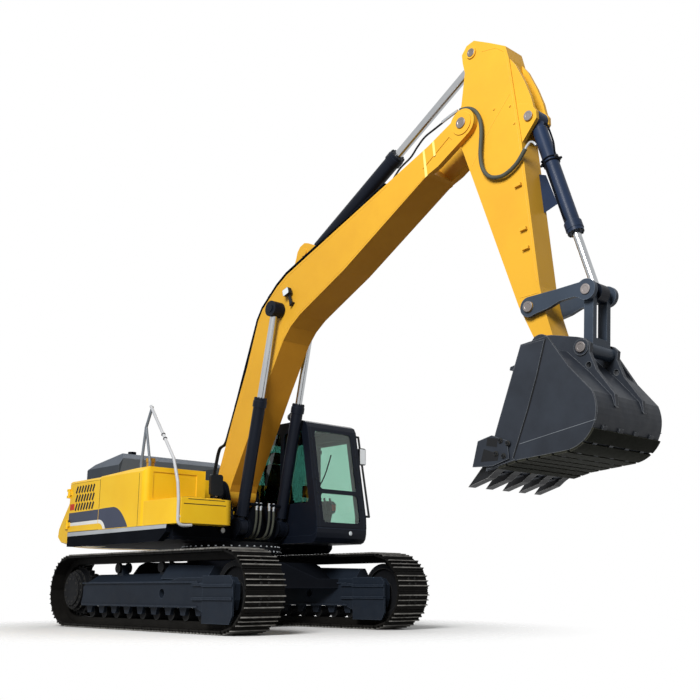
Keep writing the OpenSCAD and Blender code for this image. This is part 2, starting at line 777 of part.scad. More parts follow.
// Upper and lower edge in the boom's own frame, foot pin at 0 and arm pin at boom_length
boom_top = [[-120, 150], [169, 331], [861, 677], [1567, 1004], [2239, 1370], [2420, 1420], [2850, 1410],
    [3100, 1362], [boom_length - 1260, 585], [boom_length - 500, 293], [boom_length - 60, 160]];
boom_low = [[boom_length - 74, -180], [boom_length - 594, -61], [boom_length - 779, 18], [3869, 384],
    [3190, 577], [2890, 660], [2650, 690], [2410, 665], [1675, 431], [836, 140], [249, -60], [60, -160]];
fork_y = arm_half + side_gap;
fork_start = boom_length - 720;
arm_pin_r = pin_r + 10;
arm_ear = [125, 180];

module boom() {
    difference() {
        union() {
            plate(-boom_half, boom_half) union() {
                polygon(concat(boom_top, boom_low));
                circle(r = 190);
                translate([boom_length, 0]) circle(r = 190);
                translate(boom_ram_eye) circle(r = 200);
            }
            // Ears of the arm cylinder
            plates(arm_ear[0], arm_ear[1]) polygon([arm_ram_foot + [-380, -20], arm_ram_foot + [-170, 85],
                arm_ram_foot + [-90, 135], arm_ram_foot + [0, 150], arm_ram_foot + [95, 115],
                arm_ram_foot + [145, 35], arm_ram_foot + [270, -265],
                arm_ram_foot + [270, -620], arm_ram_foot + [-330, -420]]);
            cross_bar(arm_ram_foot, pin_r, -arm_ear[1] - 20, arm_ear[1] + 20);
            cross_bar([boom_length, 0], arm_pin_r, -boom_half - 25, boom_half + 25);
            // Thicker cheeks about the two main pins
            plates(boom_half - 1, boom_half + 4) circle(r = 165);
            cross_bars([boom_length, 0], 150, boom_half - 1, boom_half + 14);
        }
        // Fork for the arm
        difference() {
            plate(-fork_y, fork_y) translate([fork_start, -400]) square([1100, 900]);
            cross_bar([boom_length, 0], arm_pin_r, -fork_y - 1, fork_y + 1);
        }
        cross_bar([0, 0], pin_r + pin_gap, -400, 400);
        // Tapering groove in each fork cheek
        plates(boom_half - 10, boom_half + 1) polygon([[boom_length - 760, 150], [boom_length - 230, 60],
            [boom_length - 230, -20], [boom_length - 760, 130]]);
    }
}

pipe_r = 12;
pipe_y = [for (s = [-1, 1], d = [14, 42]) s * (boom_half - d)];
clamp_at = [1050, 1900, 2640, 3950, 4700];
module boom_pipes() {
    for (y = pipe_y)
        swept_tube([[900, 735], [2225, 1415], [2420, 1465], [2860, 1455], [3110, 1407],
            [boom_length - 1260, 632]], y, pipe_r, 10);
    for (at = clamp_at) plates(boom_half - 62, boom_half) polygon([
        [at - 35, lookup(at - 35, boom_top) + 0.3], [at + 35, lookup(at + 35, boom_top) + 0.3],
        [at + 35, lookup(at + 35, boom_top) + 52], [at - 35, lookup(at - 35, boom_top) + 52]
    ]);
}

// Lamp with rounded corners on a bent bracket on the right side
lamp_at = [2975, 1075];
lamp_foot = [2905, 885];
lamp_size = [135, 105];
module boom_lamp() {
    plate(-boom_half - 60, -boom_half) translate(lamp_foot) square([70, 16], center = true);
    plate(-boom_half - 60, -boom_half - 48) polygon([lamp_foot + [-35, -8], lamp_foot + [35, -8],
        lamp_at + [20, -lamp_size[1] / 2 + 5], lamp_at + [-20, -lamp_size[1] / 2 + 5]]);
    plate(-boom_half - 95, -boom_half - 35) translate(lamp_at) rotate(-25) rounded(28) square(lamp_size, center = true);
}

// Hydraulic cylinders, drawn along x from the foot pin

boom_ram_tube = 1840;
arm_ram_tube = 1985;
bucket_ram_tube = 1604;

// Columns: tube radius, tube length, rod radius, eye radius, half width of the foot eye, of the rod eye,
// rod travel inwards and outwards from the parked length
boom_ram = [86, boom_ram_tube, 52, 115, ram_eye_half, 90, 995, 215];
arm_ram = [105, arm_ram_tube, 60, 120, 110, 110, 1225, 510];
bucket_ram = [88, bucket_ram_tube, 50, 105, 85, 80, 480, 660];
function ram_r(c) = c[0];
function ram_tube_length(c) = c[1];
function ram_rod_r(c) = c[2];
function ram_eye_r(c) = c[3];
function ram_foot_half(c) = c[4];
function ram_eye_width(c) = c[5];
function ram_in(c) = c[6];
ram_neck_end = 160;
ram_floor = 180;
ram_end_gap = 10;

module ram_tube(c, y) {
    r = ram_r(c);
    length = ram_tube_length(c);
    difference() {
        union() {
            cross_bar([0, 0], ram_eye_r(c), y - ram_foot_half(c), y + ram_foot_half(c));
            // Neck, barrel and gland
            translate([0, y, 0]) rotate([0, 90, 0]) cylinder(r = ram_foot_half(c) * 0.9, h = ram_neck_end + 20);
            translate([ram_neck_end, y, 0]) rotate([0, 90, 0]) cylinder(r = r, h = length - ram_neck_end);
            translate([length - 130, y, 0]) rotate([0, 90, 0]) cylinder(r = r + 14, h = 90);
            translate([length - 60, y, 0]) rotate([0, 90, 0]) cylinder(r = r + 7, h = 60);
        }
        cross_bar([0, 0], pin_r + pin_gap, y - 200, y + 200);
        translate([ram_floor, y, 0]) rotate([0, 90, 0]) cylinder(r = ram_rod_r(c) + pin_gap, h = length);
    }
}

// Rod with its eye; the stub is the pin that stands out of the eye on both sides
module ram_rod(c, y, length, stub) {
    start = ram_floor + ram_in(c) + ram_end_gap;
    cross_bar([length, 0], ram_eye_r(c), y - ram_eye_width(c), y + ram_eye_width(c));
    cross_bar([length, 0], pin_r, y - ram_eye_width(c) - stub, y + ram_eye_width(c) + stub);
    translate([start, y, 0]) rotate([0, 90, 0]) cylinder(r = ram_rod_r(c), h = length - start);
}

boom_ram_length = norm(boom_to_side(boom_ram_eye) - boom_ram_foot);
arm_ram_length = norm(arm_to_side(arm_ram_eye) - boom_to_side(arm_ram_foot));
bucket_ram_length = norm(link_joint - bucket_ram_foot);

module in_boom_ram() {
    in_machine() at_side(boom_ram_foot, bearing(boom_ram_foot, boom_to_side(boom_ram_eye))) children();
}
module in_arm_ram() {
    in_machine() at_side(boom_to_side(arm_ram_foot), bearing(boom_to_side(arm_ram_foot), arm_to_side(arm_ram_eye)))
        children();
}
module in_bucket_ram() {
    in_arm() at_side(bucket_ram_foot, bearing(bucket_ram_foot, link_joint)) children();
}

// Arm

arm_tip_r = 105;
link_y = [98, arm_half + 2];
rocker_y = [arm_half + 10, arm_half + 65];
ear_y = [arm_half + 72, arm_half + 126];
cleat_at = [1240, 1780, 2010];

module arm() {
    tip = arm_length;
    difference() {
        union() {
            plate(-arm_half, arm_half) union() {
                polygon([
                    [120, -165], [tip - 640, -165], [tip - 140, -112], [tip, -arm_tip_r], [tip, arm_tip_r],
                    [tip - 440, 130], [tip - 709, 172], [642, 640], [-382, 864], [-560, 880], [-782, 700], [-990, 520],
                    [-1005, 400], [-940, 290], [-820, 260], [-679, 243], [-301, 36], [-190, -60], [-60, -190]
                ]);
                circle(r = 195);
                translate([tip, 0]) circle(r = arm_tip_r);
            }
            cross_bar([tip, 0], arm_tip_r - 5, -ear_y[0] + side_gap, ear_y[0] - side_gap);
            // Ears of the bucket cylinder
            plates(95, 145) polygon([bucket_ram_foot + [-313, -140], bucket_ram_foot + [-153, 50],
                bucket_ram_foot + [-83, 90], bucket_ram_foot + [0, 110], bucket_ram_foot + [87, 80],
                bucket_ram_foot + [127, 10], bucket_ram_foot + [247, -210]]);
            cross_bar(bucket_ram_foot, pin_r, -165, 165);
            cross_bar(rocker_pin, pin_r + 5, -rocker_y[1] - 20, rocker_y[1] + 20);
            cross_bar([tip, 0], pin_r + 5, -ear_y[1] - 25, ear_y[1] + 25);
            // Hose cleats on the right side
            for (u = cleat_at) plate(-arm_half - 40, -arm_half + 1) translate([u, 690 - u * 0.25]) rotate(-14)
                square([34, 90], center = true);
        }
        // Slot for the arm cylinder's eye
        plate(-135, 135) translate([-1100, 100]) square([500, 900]);
        cross_bar([0, 0], arm_pin_r + pin_gap, -400, 400);
    }
    // Pin heads in the ears
    cross_bars(arm_ram_eye, 75, arm_half - 1, arm_half + 20);
}

// Bent bars: their lower edge keeps clear of the arm's end when the bucket is curled
module rocker_links() {
    length = norm(link_joint - rocker_pin);
    at_side(rocker_pin, bearing(rocker_pin, link_joint)) {
        difference() {
            plates(rocker_y[0], rocker_y[1]) union() {
                circle(r = 115);
                translate([length, 0]) circle(r = 115);
                polygon([[0, 115], [length * 0.5, 100], [length, 95], [length, -80], [length - 90, -70],
                    [length - 150, -42], [length - 340, -42], [length - 480, -80], [0, -110]]);
            }
            cross_bar([0, 0], pin_r + 5 + pin_gap, -400, 400);
        }
        cross_bars([length, 0], pin_r, rocker_y[0] - 2, rocker_y[1] + 6);
    }
}

link_half = 56;
module h_link() {
    length = norm(bucket_ear_pin - link_joint);
    at_side(link_joint, bearing(link_joint, bucket_ear_pin)) difference() {
        union() {
            plates(link_y[0], link_y[1]) union() {
                circle(r = link_half + 6);
                translate([0, -link_half]) square([length, 2 * link_half]);
            }
            plate(-link_y[1], link_y[1]) translate([length - 130, -link_half]) square([130, 2 * link_half]);
            cross_bar([length, 0], 74, -ear_y[0] + side_gap, ear_y[0] - side_gap);
        }
        cross_bar([length, 0], pin_r + pin_gap, -400, 400);
    }
}

// Bucket

heel_at = [517, 768];
heel_r = 406;
ear_pin_b = turned(bucket_ear_pin - [arm_length, 0], arm_angle - bucket_angle);
bucket_wall = 38;
side_t = 36;
lip_height = 100;
side_taper = 4;
tooth_pitch = (bucket_half - 110) / 2;
tooth_half = 60;

function heel_arc(r, n) = [for (i = [0 : n]) let (a = 140 - i * 110 / n) heel_at + r * [cos(a), sin(a)]];

// Back sheet, heel and floor close the section; the side plates reach up beside the arm
lip = [[1164, 495], [1420, 185], [998, 135]];
module sheet_section() { polygon(concat([[300, 20], [170, 180], [-40, 350], [70, 690]], heel_arc(heel_r, 14), lip)); }
module side_section() { polygon(concat([[40, 60], [-140, 330], [70, 690]], heel_arc(heel_r, 14), lip)); }

// Side planes lean inwards from the lip to the heel
module on_side(s) {
    translate([0, s * bucket_half, lip_height]) rotate([s * side_taper, 0, 0]) translate([0, 0, -lip_height]) children();
}
module between_sides() {
    foot = bucket_half - side_t / 2 + lip_height * tan(side_taper);
    head = foot - 1400 * tan(side_taper);
    along_x(-800, 2000) polygon([[-foot - 200 * tan(side_taper), -200], [foot + 200 * tan(side_taper), -200], [head, 1400], [-head, 1400]]);
}

module bucket() {
    difference() {
        union() {
            intersection() {
                plate(-bucket_half - 100, bucket_half + 100) difference() {
                    sheet_section();
                    offset(delta = -bucket_wall) sheet_section();
                    // Mouth
                    polygon([[345, -50], [1010, 60], [1375, 100], [1360, 212], [975, 185], [330, 80]]);
                }
                between_sides();
            }
            for (s = [-1, 1]) on_side(s) plate(s > 0 ? -side_t : 0, s > 0 ? 0 : side_t) side_section();
            // Ears with curved tails and a lifting hole
            plates(ear_y[0], ear_y[1]) difference() {
                polygon([
                    [-70, -128], [110, -100], [180, 20], [215, 160], [190, 210], [0, 370], [95, 690], [300, 1130],
                    [180, 1060], [20, 760], [-120, 610], [-215, 580], [-240, 500], [-225, 400], [-150, 80]
                ]);
                translate(lift_hole) circle(r = lift_hole_r);
            }
            cross_bars([0, 0], 128, ear_y[0], ear_y[1] + 14);
            cross_bars(ear_pin_b, 88, ear_y[0], ear_y[1] + 14);
            cross_bar(ear_pin_b, pin_r, -ear_y[1] - 24, ear_y[1] + 24);
            // Wear strips under the floor
            for (y = [-1.5, -0.5, 0.5, 1.5] * tooth_pitch) plate(y - 35, y + 35) difference() {
                offset(delta = 18) sheet_section();
                sheet_section();
                translate([-400, -400]) square([1800, 1130]);
                translate([-400, 0]) square([900, 1400]);
            }
        }
        cross_bar([0, 0], pin_r + 5 + pin_gap, -400, 400);
    }
}
lift_hole = [5, 655];
lift_hole_r = 32;

module bucket_teeth() {
    for (i = [-2 : 2]) plate(i * tooth_pitch - tooth_half, i * tooth_pitch + tooth_half) difference() {
        polygon([[1300, 320], [1395, 255], [1480, 210], [1677, 0], [1400, 90], [1240, 110], [1240, 190], [1330, 230]]);
        sheet_section();
    }
}

module side_cutters() {
    for (s = [-1, 1]) on_side(s) plate(s > 0 ? 0 : -30, s > 0 ? 30 : 0)
        polygon([[1017, 324], [1040, 120], [1162, -19], [1440, 29], [1330, 260], [1180, 420]]);
}

// Assembly list

NODES = [
    "car_body", "slew_ring", "track_frame_left", "track_frame_right", "track_left", "track_right",
    "idlers", "sprockets", "final_drives", "track_rollers", "carrier_rollers",
    "revolving_frame", "counterweight", "engine_block", "engine_cowl", "engine_hood", "exhaust", "tank_housing", "filler_cap", "step_box",
    "pump_door", "cooler_door", "battery_door", "handrails", "right_mirror", "work_lamps",
    "cab_floor_pan", "cab_front", "cab_roof", "cab_rear_wall", "cab_right_side", "cab_left_side", "cab_glass", "cab_door", "cab_door_glass", "cab_seat", "cab_controls", "cab_grab_rail",
    "boom", "boom_pipes", "boom_lamp", "boom_cylinder_tubes", "boom_cylinder_rods", "arm_cylinder_tube", "arm_cylinder_rod",
    "arm", "bucket_cylinder_tube", "bucket_cylinder_rod", "rocker_links", "h_link",
    "bucket", "bucket_teeth", "side_cutters"
];

function shown(n) = node == "all" || node == n;

if (shown("car_body")) in_machine() car_body();
if (shown("slew_ring")) in_machine() slew_ring();
if (shown("track_frame_left")) in_machine() translate([0, track_y, 0]) track_frame();
if (shown("track_frame_right")) in_machine() translate([0, -track_y, 0]) track_frame();
if (shown("track_left")) in_machine() translate([0, track_y, 0]) track();
if (shown("track_right")) in_machine() translate([0, -track_y, 0]) track();
if (shown("idlers")) in_machine() for (s = [-1, 1]) translate([0, s * track_y, 0]) idler();
if (shown("sprockets")) in_machine() for (s = [-1, 1]) translate([0, s * track_y, 0]) sprocket();
if (shown("final_drives")) in_machine() for (s = [-1, 1]) translate([0, s * track_y, 0]) final_drive(s);
if (shown("track_rollers")) in_machine() for (s = [-1, 1], x = roller_x)
    translate([x, s * track_y, rail_z + roller_r]) track_roller();
if (shown("carrier_rollers")) in_machine() for (s = [-1, 1], x = carrier_x)
    translate([x, s * track_y, top_rail_z - carrier_r]) carrier_roller();
if (shown("revolving_frame")) in_machine() revolving_frame();
if (shown("counterweight")) in_machine() counterweight();
if (shown("engine_block")) in_machine() engine_block();
if (shown("engine_cowl")) in_machine() engine_cowl();
if (shown("engine_hood")) in_machine() engine_hood();
if (shown("exhaust")) in_machine() exhaust();
if (shown("tank_housing")) in_machine() tank_housing();
if (shown("filler_cap")) in_machine() filler_cap();
if (shown("step_box")) in_machine() step_box();
if (shown("pump_door")) in_machine() side_door(weight_front, tank_rear, -1, true, weight_front, -1);
if (shown("cooler_door")) in_machine() side_door(weight_front, tank_rear, 1, true, weight_front, -1);
if (shown("battery_door")) in_machine() side_door(tank_rear, -640, 1, false, -640, 1);
if (shown("handrails")) in_machine() handrails();
if (shown("right_mirror")) in_machine() right_mirror();
if (shown("work_lamps")) in_machine() work_lamps();
if (shown("cab_floor_pan")) in_machine() cab_floor_pan();
if (shown("cab_front")) in_machine() cab_front();
if (shown("cab_roof")) in_machine() cab_roof();
if (shown("cab_rear_wall")) in_machine() cab_rear_wall();
if (shown("cab_right_side")) in_machine() cab_right_side();
if (shown("cab_left_side")) in_machine() cab_left_side();
if (shown("cab_glass")) in_machine() cab_glass();
if (shown("cab_door")) in_machine() cab_door();
if (shown("cab_door_glass")) in_machine() cab_door_glass();
if (shown("cab_seat")) in_machine() cab_seat();
if (shown("cab_controls")) in_machine() cab_controls();
if (shown("cab_grab_rail")) in_machine() cab_grab_rail();
if (shown("boom")) in_boom() boom();
if (shown("boom_pipes")) in_boom() boom_pipes();
if (shown("boom_lamp")) in_boom() boom_lamp();
if (shown("boom_cylinder_tubes")) in_boom_ram() for (s = [-1, 1]) ram_tube(boom_ram, s * ram_y);
if (shown("boom_cylinder_rods")) in_boom_ram() for (s = [-1, 1])
    ram_rod(boom_ram, s * ram_y, boom_ram_length, ram_y - ram_eye_width(boom_ram) - boom_half - 5);
if (shown("arm_cylinder_tube")) in_arm_ram() ram_tube(arm_ram, 0);
if (shown("arm_cylinder_rod")) in_arm_ram() ram_rod(arm_ram, 0, arm_ram_length, 18);
if (shown("arm")) in_arm() arm();
if (shown("bucket_cylinder_tube")) in_bucket_ram() ram_tube(bucket_ram, 0);
if (shown("bucket_cylinder_rod")) in_bucket_ram() ram_rod(bucket_ram, 0, bucket_ram_length, 10);
if (shown("rocker_links")) in_arm() rocker_links();
if (shown("h_link")) in_arm() h_link();
if (shown("bucket")) in_bucket() bucket();
if (shown("bucket_teeth")) in_bucket() bucket_teeth();
if (shown("side_cutters")) in_bucket() side_cutters();
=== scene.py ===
"""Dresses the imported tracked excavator: paint, worn steel, glass, hoses, bolts and stripes."""

from __future__ import annotations

import logging
import math
from collections.abc import Callable, Iterable
from dataclasses import dataclass
from enum import Enum
from functools import cache

import bmesh
import bpy
from mathutils import Matrix, Vector
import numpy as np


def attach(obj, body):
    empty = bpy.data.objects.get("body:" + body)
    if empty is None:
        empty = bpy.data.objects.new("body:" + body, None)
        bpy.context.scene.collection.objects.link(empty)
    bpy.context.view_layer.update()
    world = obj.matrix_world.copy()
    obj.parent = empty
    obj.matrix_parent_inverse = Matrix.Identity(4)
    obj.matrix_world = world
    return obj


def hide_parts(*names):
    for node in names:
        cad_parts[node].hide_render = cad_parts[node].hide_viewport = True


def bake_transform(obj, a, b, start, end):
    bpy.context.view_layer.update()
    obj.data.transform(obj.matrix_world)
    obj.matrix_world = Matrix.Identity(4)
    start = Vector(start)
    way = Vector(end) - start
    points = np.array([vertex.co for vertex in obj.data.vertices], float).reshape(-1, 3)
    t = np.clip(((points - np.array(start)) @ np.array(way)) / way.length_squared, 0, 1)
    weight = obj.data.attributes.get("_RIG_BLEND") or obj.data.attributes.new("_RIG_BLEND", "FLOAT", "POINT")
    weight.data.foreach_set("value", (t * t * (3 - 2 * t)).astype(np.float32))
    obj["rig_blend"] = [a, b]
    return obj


LOG = logging.getLogger("excavator")

Tree = bpy.types.NodeTree
Node = bpy.types.Node
Socket = bpy.types.NodeSocket
Piece = bpy.types.Object
Place = tuple[float, float]

# Distance in millimetres from the slew axis to the model's middle
CENTRE_X = 1666.5
AHEAD = Vector((1, 0, 0))
UP = Vector((0, 0, 1))
# The two sides by the sign of y
SIDES = ((-1, "right"), (1, "left"))
# Sockets of the mix node when it mixes colours
MIX_SHARE, MIX_LOWER, MIX_UPPER, MIX_RESULT = 0, 6, 7, 2
# Gap in millimetres under a film or thin plate that lies on a solid
FILM_GAP = 0.3
# Flat sides of a turned piece and of a swept tube
TURNED_SIDES, TUBE_SIDES = 28, 14


class Body(Enum):
    """Moving bodies of the machine that pieces ride on."""

    UNDERCARRIAGE = "undercarriage"
    UPPER = "upper"
    CAB_DOOR = "cab_door"
    PUMP_DOOR = "pump_door"
    COOLER_DOOR = "cooler_door"
    BATTERY_DOOR = "battery_door"
    BOOM = "boom"
    BOOM_TUBES = "boom_cylinder_tubes"
    ARM_TUBE = "arm_cylinder_tube"
    ARM = "arm"
    BUCKET_TUBE = "bucket_cylinder_tube"
    ROCKER = "rocker"
    BUCKET = "bucket"


def linear(hex_colour: str) -> tuple[float, float, float, float]:
    """Turns an sRGB hex value into the linear colour that the shaders read.

    Args:
        hex_colour: Colour such as "#F2BC30".

    Returns:
        Linear red, green, blue and an alpha of 1.
    """
    parts = [int(hex_colour[i : i + 2], 16) / 255 for i in (1, 3, 5)]
    red, green, blue = (p / 12.92 if p <= 0.04045 else ((p + 0.055) / 1.055) ** 2.4 for p in parts)
    return red, green, blue, 1.0


def machine(x: float, y: float, z: float) -> Vector:
    """Turns millimetres from the slew axis at ground level into the model's metres.

    Args:
        x: Forward.
        y: Left.
        z: Up.

    Returns:
        Point in the shared frame.
    """
    return Vector(((x - CENTRE_X) / 1000, y / 1000, z / 1000))


def on_y(y: float, places: Iterable[Place]) -> list[Vector]:
    """Sets places of the side view at one distance to the left.

    Args:
        y: Distance to the left.
        places: Machine x and z of each place.

    Returns:
        Points in the shared frame.
    """
    return [machine(x, y, z) for x, z in places]


def on_x(x: float, places: Iterable[Place]) -> list[Vector]:
    """Sets places of the front view at one distance ahead.

    Args:
        x: Distance ahead.
        places: Machine y and z of each place.

    Returns:
        Points in the shared frame.
    """
    return [machine(x, y, z) for y, z in places]


def oblong(start: float, low: float, end: float, high: float) -> list[Place]:
    """Lists the corners of an upright rectangle.

    Args:
        start: First limit across.
        low: Lower limit.
        end: Second limit across.
        high: Upper limit.

    Returns:
        The corners in order.
    """
    return [(start, low), (end, low), (end, high), (start, high)]


@dataclass(frozen=True)
class SideFrame:
    """Own frame of a member in the side view: its first pin and the angle of its pin line."""

    x: float
    z: float
    angle: float

    def side(self, u: float, v: float) -> Place:
        """Turns a place along and across the pin line into the machine's x and z.

        Args:
            u: Along the pin line.
            v: Across it, upwards.

        Returns:
            Machine x and z in millimetres.
        """
        step = self.way(u, v)
        return self.x + step.x, self.z + step.z

    def at(self, u: float, v: float, y: float) -> Vector:
        """Turns a place on the member into the shared frame.

        Args:
            u: Along the pin line.
            v: Across it, upwards.
            y: To the left.

        Returns:
            Point in metres.
        """
        x, z = self.side(u, v)
        return machine(x, y, z)

    def line(self, y: float, places: Iterable[Place]) -> list[Vector]:
        """Turns places on the member at one distance to the left into the shared frame.

        Args:
            y: To the left.
            places: Along and across the pin line.

        Returns:
            Points in metres.
        """
        return [self.at(u, v, y) for u, v in places]

    def way(self, u: float, v: float) -> Vector:
        """Turns a step along and across the pin line into the shared frame.

        Args:
            u: Along the pin line.
            v: Across it, upwards.

        Returns:
            The step.
        """
        a = math.radians(self.angle)
        return Vector((u * math.cos(a) - v * math.sin(a), 0, u * math.sin(a) + v * math.cos(a)))


def between(start: Place, end: Place) -> SideFrame:
    """Makes the frame of a cylinder that runs from one pin to another.

    Args:
        start: Machine x and z of the foot pin.
        end: Machine x and z of the rod's pin.

    Returns:
        Frame at the foot pin.
    """
    return SideFrame(*start, math.degrees(math.atan2(end[1] - start[1], end[0] - start[0])))


BOOM_LENGTH, ARM_LENGTH = 6390, 3220
# Pins of the cylinders in the frame of the boom or arm that carries them
BOOM_ROD_PIN = (2665, 1050)
ARM_FOOT_PIN, ARM_ROD_PIN = (3520, 1360), (-853, 429)
BUCKET_FOOT_PIN, BUCKET_ROD_PIN = (513, 810), (2899, 700)
BOOM = SideFrame(70, 1918, 41.39)
ARM = SideFrame(*BOOM.side(BOOM_LENGTH, 0), -71.11)
BUCKET = SideFrame(*ARM.side(ARM_LENGTH, 0), -117.5)
BOOM_RAM = between((680, 1406), BOOM.side(*BOOM_ROD_PIN))
ARM_RAM = between(BOOM.side(*ARM_FOOT_PIN), ARM.side(*ARM_ROD_PIN))
BUCKET_RAM = between(ARM.side(*BUCKET_FOOT_PIN), ARM.side(*BUCKET_ROD_PIN))


def add_node(
    tree: Tree, kind: str, settings: dict | None = None, values: dict | None = None, links: dict | None = None
) -> Node:
    """Adds a node with its settings, input values and links.

    Args:
        tree: Tree that gets the node.
        kind: Blender's name of the node type.
        settings: Properties of the node.
        values: Input values by the input's name or number.
        links: Output sockets by the name or number of the input they feed.

    Returns:
        The new node.
    """
    node = tree.nodes.new(kind)
    for name, value in (settings or {}).items():
        setattr(node, name, value)
    for key, value in (values or {}).items():
        node.inputs[key].default_value = value
    for key, socket in (links or {}).items():
        tree.links.new(socket, node.inputs[key])
    return node


@dataclass(frozen=True)
class Finish:
    """A surface: its base colour, its drift, its gloss and its fine relief.

    Sizes of the patterns are in millimetres. Grain and scratches that are too fine to show are drawn coarser.
    """

    name: str
    colour: str
    drift: str
    roughness: float
    metallic: float = 0.0
    coat: float = 0.0
    specular: float = 0.18
    drift_size: float = 700.0
    relief_size: float = 9.0
    relief: float = 0.04
    rough_spread: float = 0.08
    # Paler colour on edges: wear on bare steel and castings, painted highlight on the yellow paints, the hood
    # and the track frames
    edge: str = ""
    edge_width: float = 9.0
    dust: str = ""
    dust_top: float = 1.2
    dust_share: float = 0.3
    dust_size: float = 143.0
    grit_size: float = 25.0

    def material(self) -> bpy.types.Material:
        """Builds the material once and gives it again after that.

        Returns:
            The material.
        """
        found = bpy.data.materials.get(self.name)
        if found is not None:
            return found
        made = bpy.data.materials.new(self.name)
        made.use_nodes = True
        tree = made.node_tree
        tree.nodes.clear()
        output = add_node(tree, "ShaderNodeOutputMaterial")
        gloss = {
            "Metallic": self.metallic,
            "Coat Weight": self.coat,
            "Coat Roughness": 0.12,
            "Specular IOR Level": self.specular,
        }
        shader = add_node(tree, "ShaderNodeBsdfPrincipled", values=gloss)
        tree.links.new(shader.outputs["BSDF"], output.inputs["Surface"])
        place = add_node(tree, "ShaderNodeTexCoord").outputs["Object"]
        colour = self.marked(tree, place, self.drifted(tree, place))
        tree.links.new(colour, shader.inputs["Base Color"])
        self.surface(tree, place, shader)
        made.diffuse_color = linear(self.colour)
        return made

    def drifted(self, tree: Tree, place: Socket) -> Socket:
        """Mixes the colour with its drift in slow cloudy patches.

        Args:
            tree: Material's tree.
            place: Object coordinates.

        Returns:
            Colour socket.
        """
        pattern = {"Scale": 1000 / self.drift_size, "Detail": 5.0, "Roughness": 0.6}
        cloud = add_node(tree, "ShaderNodeTexNoise", values=pattern, links={"Vector": place})
        ramp = add_node(tree, "ShaderNodeValToRGB", links={"Fac": cloud.outputs["Fac"]})
        stops = ((0.32, self.drift), (0.62, self.colour))
        for stop, (position, colour) in zip(ramp.color_ramp.elements, stops):
            stop.position = position
            stop.color = linear(colour)
        return ramp.outputs["Color"]

    def marked(self, tree: Tree, place: Socket, colour: Socket) -> Socket:
        """Lays paler edges and dust near the ground over the colour. The paler edges are wear on bare steel
        and castings, and painted highlight on the yellow paints, the hood and the track frames.

        Args:
            tree: Material's tree.
            place: Object coordinates.
            colour: Colour so far.

        Returns:
            Colour socket.
        """
        if self.edge:
            width = {"Radius": self.edge_width / 1000}
            rounded = add_node(tree, "ShaderNodeBevel", {"samples": 4}, width)
            flat = add_node(tree, "ShaderNodeNewGeometry")
            normals = {0: rounded.outputs["Normal"], 1: flat.outputs["Normal"]}
            bend = add_node(tree, "ShaderNodeVectorMath", {"operation": "DOT_PRODUCT"}, links=normals)
            pattern = {"Scale": 1000 / self.grit_size, "Detail": 4.0}
            grit = add_node(tree, "ShaderNodeTexNoise", values=pattern, links={"Vector": place})
            limits = {"From Min": 0.995, "From Max": 0.93, "To Min": 0.0, "To Max": 1.5}
            level = add_node(
                tree, "ShaderNodeMapRange", values=limits, links={"Value": bend.outputs["Value"]}
            )
            colour = self.laid(tree, colour, level.outputs["Result"], grit.outputs["Fac"], self.edge)
        if self.dust:
            height = add_node(tree, "ShaderNodeSeparateXYZ", links={"Vector": place})
            pattern = {"Scale": 1000 / self.dust_size, "Detail": 6.0, "Roughness": 0.65}
            cloud = add_node(tree, "ShaderNodeTexNoise", values=pattern, links={"Vector": place})
            limits = {"From Min": self.dust_top, "From Max": 0.0, "To Min": 0.0, "To Max": self.dust_share}
            low = add_node(tree, "ShaderNodeMapRange", values=limits, links={"Value": height.outputs["Z"]})
            colour = self.laid(tree, colour, low.outputs["Result"], cloud.outputs["Fac"], self.dust)
        return colour

    def laid(self, tree: Tree, colour: Socket, share: Socket, pattern: Socket, over: str) -> Socket:
        """Lays one hex colour over another by a share that a pattern breaks up.

        Args:
            tree: Material's tree.
            colour: Lower colour.
            share: Share of the upper colour.
            pattern: Pattern that the share is multiplied with.
            over: Upper colour as sRGB hex.

        Returns:
            Colour socket.
        """
        product = {"operation": "MULTIPLY", "use_clamp": True}
        broken = add_node(tree, "ShaderNodeMath", product, links={0: share, 1: pattern})
        links = {MIX_SHARE: broken.outputs["Value"], MIX_LOWER: colour}
        mix = add_node(tree, "ShaderNodeMix", {"data_type": "RGBA"}, {MIX_UPPER: linear(over)}, links)
        return mix.outputs[MIX_RESULT]

    def surface(self, tree: Tree, place: Socket, shader: Node) -> None:
        """Gives the shader its uneven gloss and fine relief.

        Args:
            tree: Material's tree.
            place: Object coordinates.
            shader: Principled shader.
        """
        pattern = {"Scale": 1000 / (self.drift_size * 0.3), "Detail": 6.0}
        patch = add_node(tree, "ShaderNodeTexNoise", values=pattern, links={"Vector": place})
        limits = {
            "To Min": max(self.roughness - self.rough_spread, 0.02),
            "To Max": min(self.roughness + self.rough_spread, 1.0),
        }
        gloss = add_node(tree, "ShaderNodeMapRange", values=limits, links={"Value": patch.outputs["Fac"]})
        tree.links.new(gloss.outputs["Result"], shader.inputs["Roughness"])
        if self.relief > 0:
            pattern = {"Scale": 1000 / self.relief_size, "Detail": 3.0}
            skin = add_node(tree, "ShaderNodeTexNoise", values=pattern, links={"Vector": place})
            depth = {"Strength": self.relief, "Distance": 0.004}
            bump = add_node(tree, "ShaderNodeBump", values=depth, links={"Height": skin.outputs["Fac"]})
            tree.links.new(bump.outputs["Normal"], shader.inputs["Normal"])


@dataclass(frozen=True)
class Glazing(Finish):
    """Tinted flat glass that lets the cab's inside show."""

    relief: float = 0.0
    rough_spread: float = 0.01

    def material(self) -> bpy.types.Material:
        """Builds the glass with its tint and its gloss.

        Returns:
            The material.
        """
        made = super().material()
        shader = next(n for n in made.node_tree.nodes if n.type == "BSDF_PRINCIPLED")
        shader.inputs["IOR"].default_value = 1.5
        shader.inputs["Transmission Weight"].default_value = 1.0
        return made


